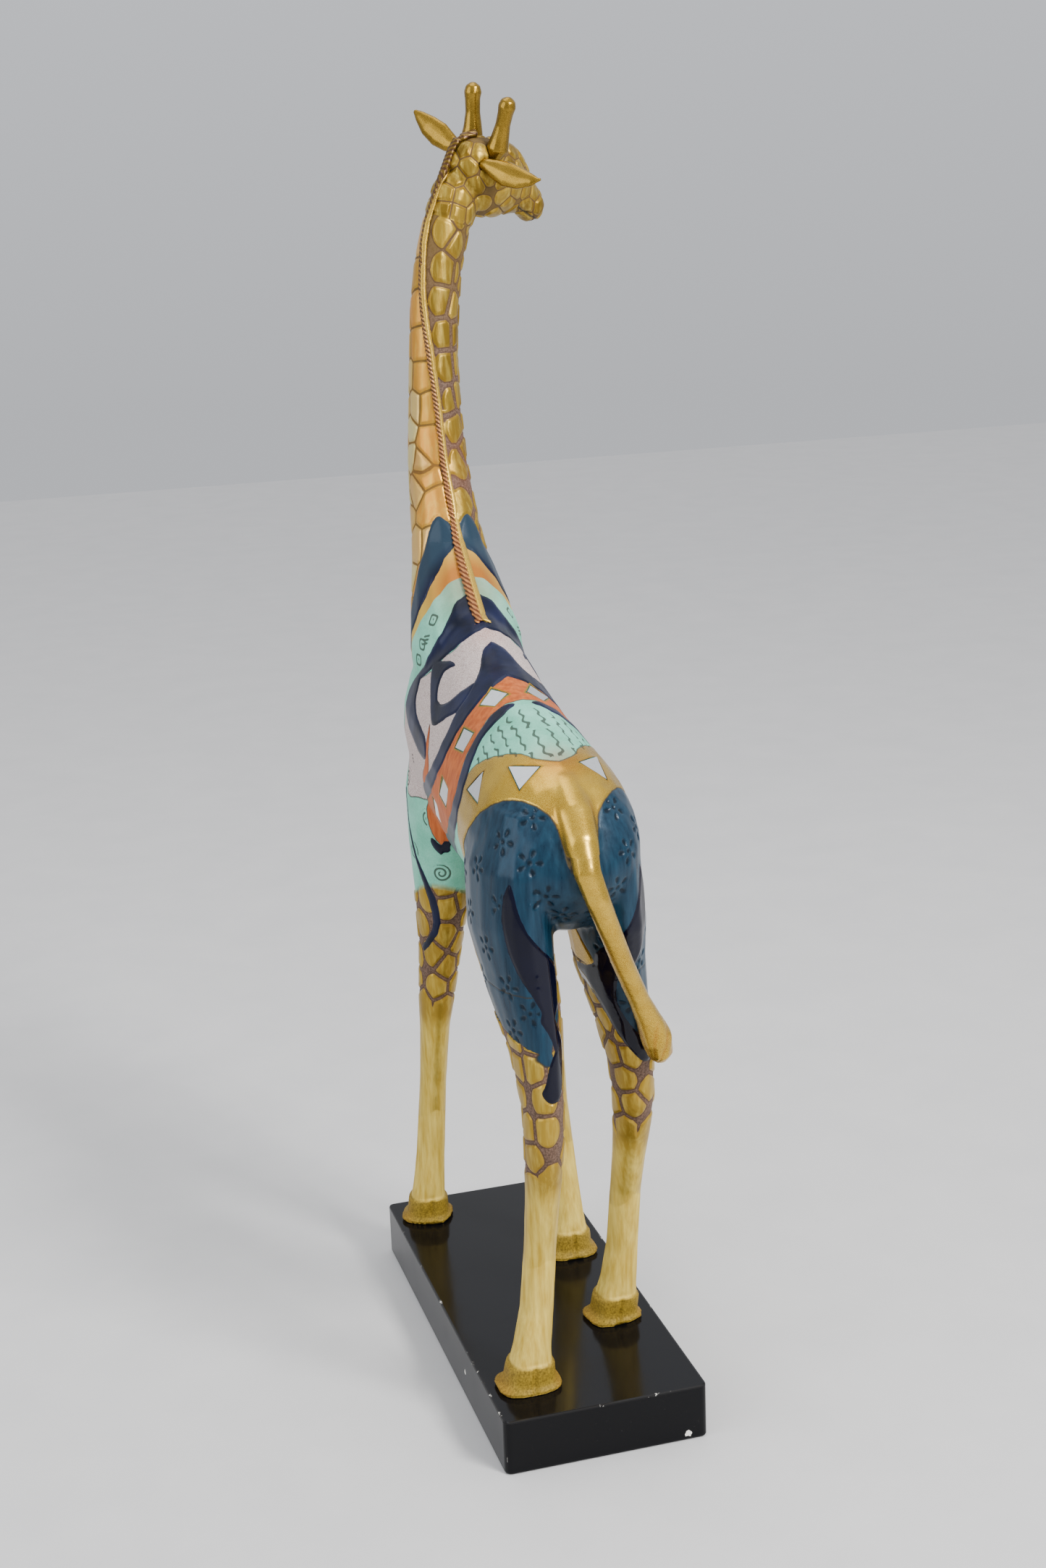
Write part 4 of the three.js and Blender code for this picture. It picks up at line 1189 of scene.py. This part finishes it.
def mane_paint(name):
    """Bright gold on one half, brown hatching on the other."""
    p = Paint(name)
    flakes = p.noise(5.0, 1.0)
    bright = p.mix(p.ramp(flakes, 0.4, 0.66), GOLD[0], GOLD[1])
    up = p.add("ShaderNodeSeparateXYZ", {0: p.place}).outputs[2]
    on_head = p.ramp(up, 0.42, 0.5)
    crest = p.mix(on_head, srgb(172, 118, 66), OLIVE[0])
    bright = p.mix(p.ramp(up, 0.5, 0.53, 0.0, 0.75), bright, OLIVE[0])
    brown = p.mix(p.ramp(p.attribute("hatch"), 0.25, 0.7), srgb(70, 44, 20), crest)
    colour = p.mix(p.attribute("left_half"), bright, brown)
    colour = p.mix(p.math("MULTIPLY", p.attribute("glaze_and_shade"), 0.25), colour, AMBER)
    normal = p.bump(flakes, 0.04, 0.25)
    return p.finish(colour, p.blend(flakes, 0.28, 0.42), 0.6, normal)


def lacquer_paint(name):
    """Black gloss lacquer with dust, rubbed edges and a few white chips."""
    p = Paint(name)
    x, y, z = p.add("ShaderNodeSeparateXYZ", {0: p.place}).outputs
    half_width, half_length, top = high("plinth")

    def close_to(axis, limit):
        return p.ramp(p.math("ABSOLUTE", axis), (limit - 1.1) * MM, (limit - 0.2) * MM)

    a, b, c = close_to(x, half_width), close_to(y, half_length), close_to(z, top)
    pairs = [p.math("MINIMUM", *two) for two in ((a, b), (b, c), (a, c))]
    rubbed = p.math("MAXIMUM", p.math("MAXIMUM", pairs[0], pairs[1]), pairs[2])
    dust = p.ramp(p.noise(0.8, 6.0, 0.7), 0.66, 0.76, 0.0, 0.3)
    chips = p.math("MULTIPLY", rubbed, p.ramp(p.noise(0.22, 5.0, 0.65), 0.64, 0.67))
    for spot, radius in (((-36, half_length, 3.4), 1.5), ((half_width, 42, 13), 1.3)):
        away = p.add("ShaderNodeVectorMath", {0: p.place, 1: Vector(spot) * MM}, operation="DISTANCE")
        ragged = p.math("ADD", away.outputs["Value"], p.math("MULTIPLY", p.noise(0.7, 4.0), 3.4 * MM))
        chips = p.math("MAXIMUM", chips, p.ramp(ragged, (radius + 1.7) * MM, (radius + 1.5) * MM))
    colour = p.mix(dust, srgb(10, 10, 12), srgb(80, 78, 76))
    colour = p.mix(p.math("MULTIPLY", rubbed, 0.25), colour, srgb(70, 68, 66))
    colour = p.mix(chips, colour, srgb(226, 222, 212))
    rough = p.ramp(p.noise(0.05, 4.0), 0.3, 0.75, 0.1, 0.2)
    rough = p.blend(chips, rough, 0.8)
    normal = p.bump(p.noise(0.06, 2.0), 0.4, 0.1)
    normal = p.bump(p.math("SUBTRACT", 1.0, chips), 0.3, 0.6, normal)
    return p.finish(colour, rough, 0.0, normal, specular=0.14)


def felt_cloth(name):
    p = Paint(name)
    fibres = p.noise(3.0, 5.0, 0.8)
    colour = p.mix(p.ramp(fibres, 0.3, 0.7), srgb(22, 30, 26), srgb(52, 62, 56))
    normal = p.bump(fibres, 0.4, 0.8)
    return p.finish(colour, 0.95, 0.0, normal, sheen=0.4)


def plated_steel(name):
    p = Paint(name)
    grain = p.noise(2.0, 3.0, 0.6, stretch=(1.0, 1.0, 0.1))
    colour = p.mix(grain, srgb(120, 120, 122), srgb(180, 180, 182))
    return p.finish(colour, p.blend(grain, 0.25, 0.45), 1.0, p.bump(grain, 0.05, 0.4))


def mirror_glass(name):
    """Silvered glass, a little cloudy in places."""
    p = Paint(name)
    cloud = p.noise(0.4, 4.0, 0.6)
    colour = p.mix(p.ramp(cloud, 0.5, 0.8, 0.0, 0.35), srgb(238, 240, 240), srgb(196, 200, 200))
    rough = p.ramp(cloud, 0.45, 0.8, 0.03, 0.16)
    return p.finish(colour, rough, 1.0, p.bump(p.noise(0.15, 1.0), 0.3, 0.15))


# ------------------------------------------------------------------ the castings


BODY_VOXEL = 1.2
HEAD_VOXEL = 0.7
TRIM_VOXEL = 0.5


def shade_smooth(mesh):
    mesh.polygons.foreach_set("use_smooth", np.ones(len(mesh.polygons), bool))


def dress(piece, material, slot, *nodes):
    """Gives a finished piece its material and its place in the frame."""
    piece.data.materials.clear()
    piece.data.materials.append(material)
    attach(piece, "root")
    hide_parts(*nodes)


def chip_pockets():
    """One object that holds a cutter for every mirror chip's pocket."""
    parts = []
    for name in CHIP_NAMES:
        corners, triangles = node_arrays(name)
        centre, facing, _ = chip_frame(name)
        rel = corners - centre
        depth = rel @ facing
        flat = rel - depth[:, None] * facing
        deep = np.where(depth > 0, 4.0, -0.75)
        parts.append((centre + flat * 1.09 + deep[:, None] * facing, triangles))
    return joined("chip_pockets", parts)


def tail_stub(points):
    """The tail drawn in to a point just below its joint, for the skin of the body."""
    tip = points[np.abs(points[:, 2] - TAIL_JOINT + 12) < 3].mean(0)
    out = points.copy()
    below = points[:, 2] < TAIL_JOINT - 10
    out[below] = tip + (0, 0, -2)
    return out


def tail_lengthened(points):
    """The tail's root carried on past its joint, so that its skin has a clean end to cut."""
    out = points.copy()
    out[points[:, 2] > TAIL_JOINT - 1.5] += (0, -1.5, 6)
    return out


def cut_off(obj, point, normal):
    """Removes what lies behind a plane and closes the cut."""
    part = bmesh.new()
    part.from_mesh(obj.data)
    bmesh.ops.bisect_plane(
        part,
        geom=[*part.verts, *part.edges, *part.faces],
        dist=1e-6,
        plane_co=Vector(point) * MM,
        plane_no=Vector(normal),
        clear_inner=True,
    )
    close_ends(part)
    part.to_mesh(obj.data)
    part.free()


def build_castings():
    """The body skin with all its relief, cut into castings."""
    nodes = ["torso", "neck", "head", "tail", "neck_dowel", "head_dowel", "tail_pin", *CHIP_NAMES]
    nodes += [f"{leg}_leg" for leg in LEG_NAMES] + [f"{leg}_dowel" for leg in LEG_NAMES]
    body = skinned("body_skin", nodes, BODY_VOXEL, 24, reshape={"tail": tail_stub})
    points = points_of(body.data)
    points[:, 2] = np.where(points[:, 2] < SOLE + 1.2, SOLE, points[:, 2])
    set_points(body.data, points)
    paint_casting(body.data)
    castings = split_castings(body, rod_axis("head_dowel"))

    torso = castings["torso"]
    pockets = chip_pockets()
    modified(torso, "BOOLEAN", object=pockets, operation="DIFFERENCE", solver="EXACT")
    bpy.data.objects.remove(pockets)
    torso.data.set_sharp_from_angle(angle=math.radians(62))
    return castings


castings = build_castings()
enamel = layered_paint("enamel_paint")
for name, casting in castings.items():
    dress(casting, enamel, "enamel_paint" if name == "torso" else "gold_paint", name)


# ------------------------------------------------------------------ head, ears, horns and mane


def build_head():
    middle, axis = rod_axis("head_dowel")
    head = skinned("head_casting", ["head", "neck", "head_dowel"], HEAD_VOXEL, 16)
    paint_head(head.data)
    cut_off(head, middle, axis)
    return head


head = build_head()
dress(head, enamel, "gold_paint", "head")

# ears and horns take the darker gold, which is partly painted shade
trim_gold_and_shade = gold_paint("trim_gold_and_shade", TRIM_GOLD_AND_SHADE)
for name in ("left_ear", "right_ear", "left_ossicone", "right_ossicone"):
    piece = skinned(f"{name}_casting", [name], TRIM_VOXEL, 14, grow=0.2, keep_growth=0.2)
    shade_smooth(piece.data)
    dress(piece, trim_gold_and_shade, "gold_paint", name)

mane = skinned("mane_casting", ["mane"], TRIM_VOXEL, 4, grow=0.2, keep_growth=0.2)
paint_mane(mane.data)
shade_smooth(mane.data)
dress(mane, mane_paint("mane_paint"), "gold_paint", "mane")

tail = skinned("tail_casting", ["tail"], BODY_VOXEL, 8, reshape={"tail": tail_lengthened})
paint_tail(tail.data)
shade_smooth(tail.data)
cut_off(tail, (0, 0, TAIL_JOINT), (0, 0, -1))
dress(tail, gold_paint("tail_gold", GOLD), "gold_paint", "tail")

# ------------------------------------------------------------------ plinth and CAD nodes that stay

lacquer = lacquer_paint("black_lacquer")
felt = felt_cloth("felt")
steel = plated_steel("plated_steel")
mirror = mirror_glass("mirror_glass")


def repaint(node, material):
    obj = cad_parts[node]
    obj.data.materials.clear()
    obj.data.materials.append(material)


repaint("plinth", lacquer)
repaint("felt_pad", felt)
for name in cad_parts:
    if name.endswith(("_dowel", "_pin", "_screw")):
        repaint(name, steel)
for name in CHIP_NAMES:
    repaint(name, mirror)

# ------------------------------------------------------------------ floor, light and camera

FLOOR_SIZE = 6000.0


def build_stage():
    half = FLOOR_SIZE / 2
    corners = np.array([[-half, -half, 0], [half, -half, 0], [half, half, 0], [-half, half, 0]], float)
    floor = mesh_object("floor", corners, np.array([[0, 1, 2, 3]]))
    p = Paint("pale_floor")
    speckle = p.noise(0.02, 5.0, 0.6)
    p.finish(p.mix(speckle, srgb(186, 185, 184), srgb(200, 198, 196)), 0.7, 0.0)
    floor.data.materials.append(p.material)


def area_light(name, at, size, watts, colour=(1, 1, 1)):
    light = bpy.data.lights.new(name, "AREA")
    light.shape = "DISK"
    light.size = size * MM
    light.energy = watts
    light.color = colour
    lamp = bpy.data.objects.new(name, light)
    lamp.location = Vector(at) * MM
    aim = Vector((0, 0, 0.26)) - lamp.location
    lamp.rotation_mode = "QUATERNION"
    lamp.rotation_quaternion = aim.to_track_quat("-Z", "Y")
    bpy.context.scene.collection.objects.link(lamp)


def build_lights():
    """A soft studio: pale sky light that is brighter overhead, and three large lamps."""
    world = bpy.data.worlds.new("studio")
    world.use_nodes = True
    nodes, links = world.node_tree.nodes, world.node_tree.links
    place = nodes.new("ShaderNodeTexCoord")
    split = nodes.new("ShaderNodeSeparateXYZ")
    height = nodes.new("ShaderNodeMapRange")
    height.inputs["From Min"].default_value = -0.1
    height.inputs["From Max"].default_value = 0.9
    height.inputs["To Min"].default_value = 0.68
    height.inputs["To Max"].default_value = 1.45
    links.new(place.outputs["Generated"], split.inputs[0])
    links.new(split.outputs["Z"], height.inputs["Value"])
    background = nodes["Background"]
    background.inputs["Color"].default_value = (0.86, 0.88, 0.93, 1)
    links.new(height.outputs["Result"], background.inputs["Strength"])
    bpy.context.scene.world = world
    area_light("key", (-700, 1100, 1300), 420, 38)
    area_light("fill", (1400, 300, 800), 1200, 13, (0.92, 0.96, 1.0))
    area_light("top", (0, -200, 1700), 900, 6)
    area_light("spark", (-500, 1300, 700), 110, 7)


CAMERA = {"at": (246.8, 886.8, 526.9), "yaw": -0.2756, "pitch": -0.2746, "roll": -0.0387, "lens": 50.5}


def build_camera():
    yaw, pitch, roll = CAMERA["yaw"], CAMERA["pitch"], CAMERA["roll"]
    forward = Vector((
        math.sin(yaw) * math.cos(pitch),
        -math.cos(yaw) * math.cos(pitch),
        math.sin(pitch),
    ))
    right = forward.cross(Vector((0, 0, 1))).normalized()
    up = right.cross(forward)
    right_rolled = right * math.cos(roll) + up * math.sin(roll)
    up_rolled = up * math.cos(roll) - right * math.sin(roll)
    data = bpy.data.cameras.new("camera")
    data.lens = CAMERA["lens"]
    data.sensor_width = 36
    data.clip_start = 0.05
    camera = bpy.data.objects.new("camera", data)
    matrix = Matrix((right_rolled, up_rolled, -forward)).transposed().to_4x4()
    matrix.translation = Vector(CAMERA["at"]) * MM
    camera.matrix_world = matrix
    bpy.context.scene.collection.objects.link(camera)
    bpy.context.scene.camera = camera


build_stage()
build_lights()
build_camera()
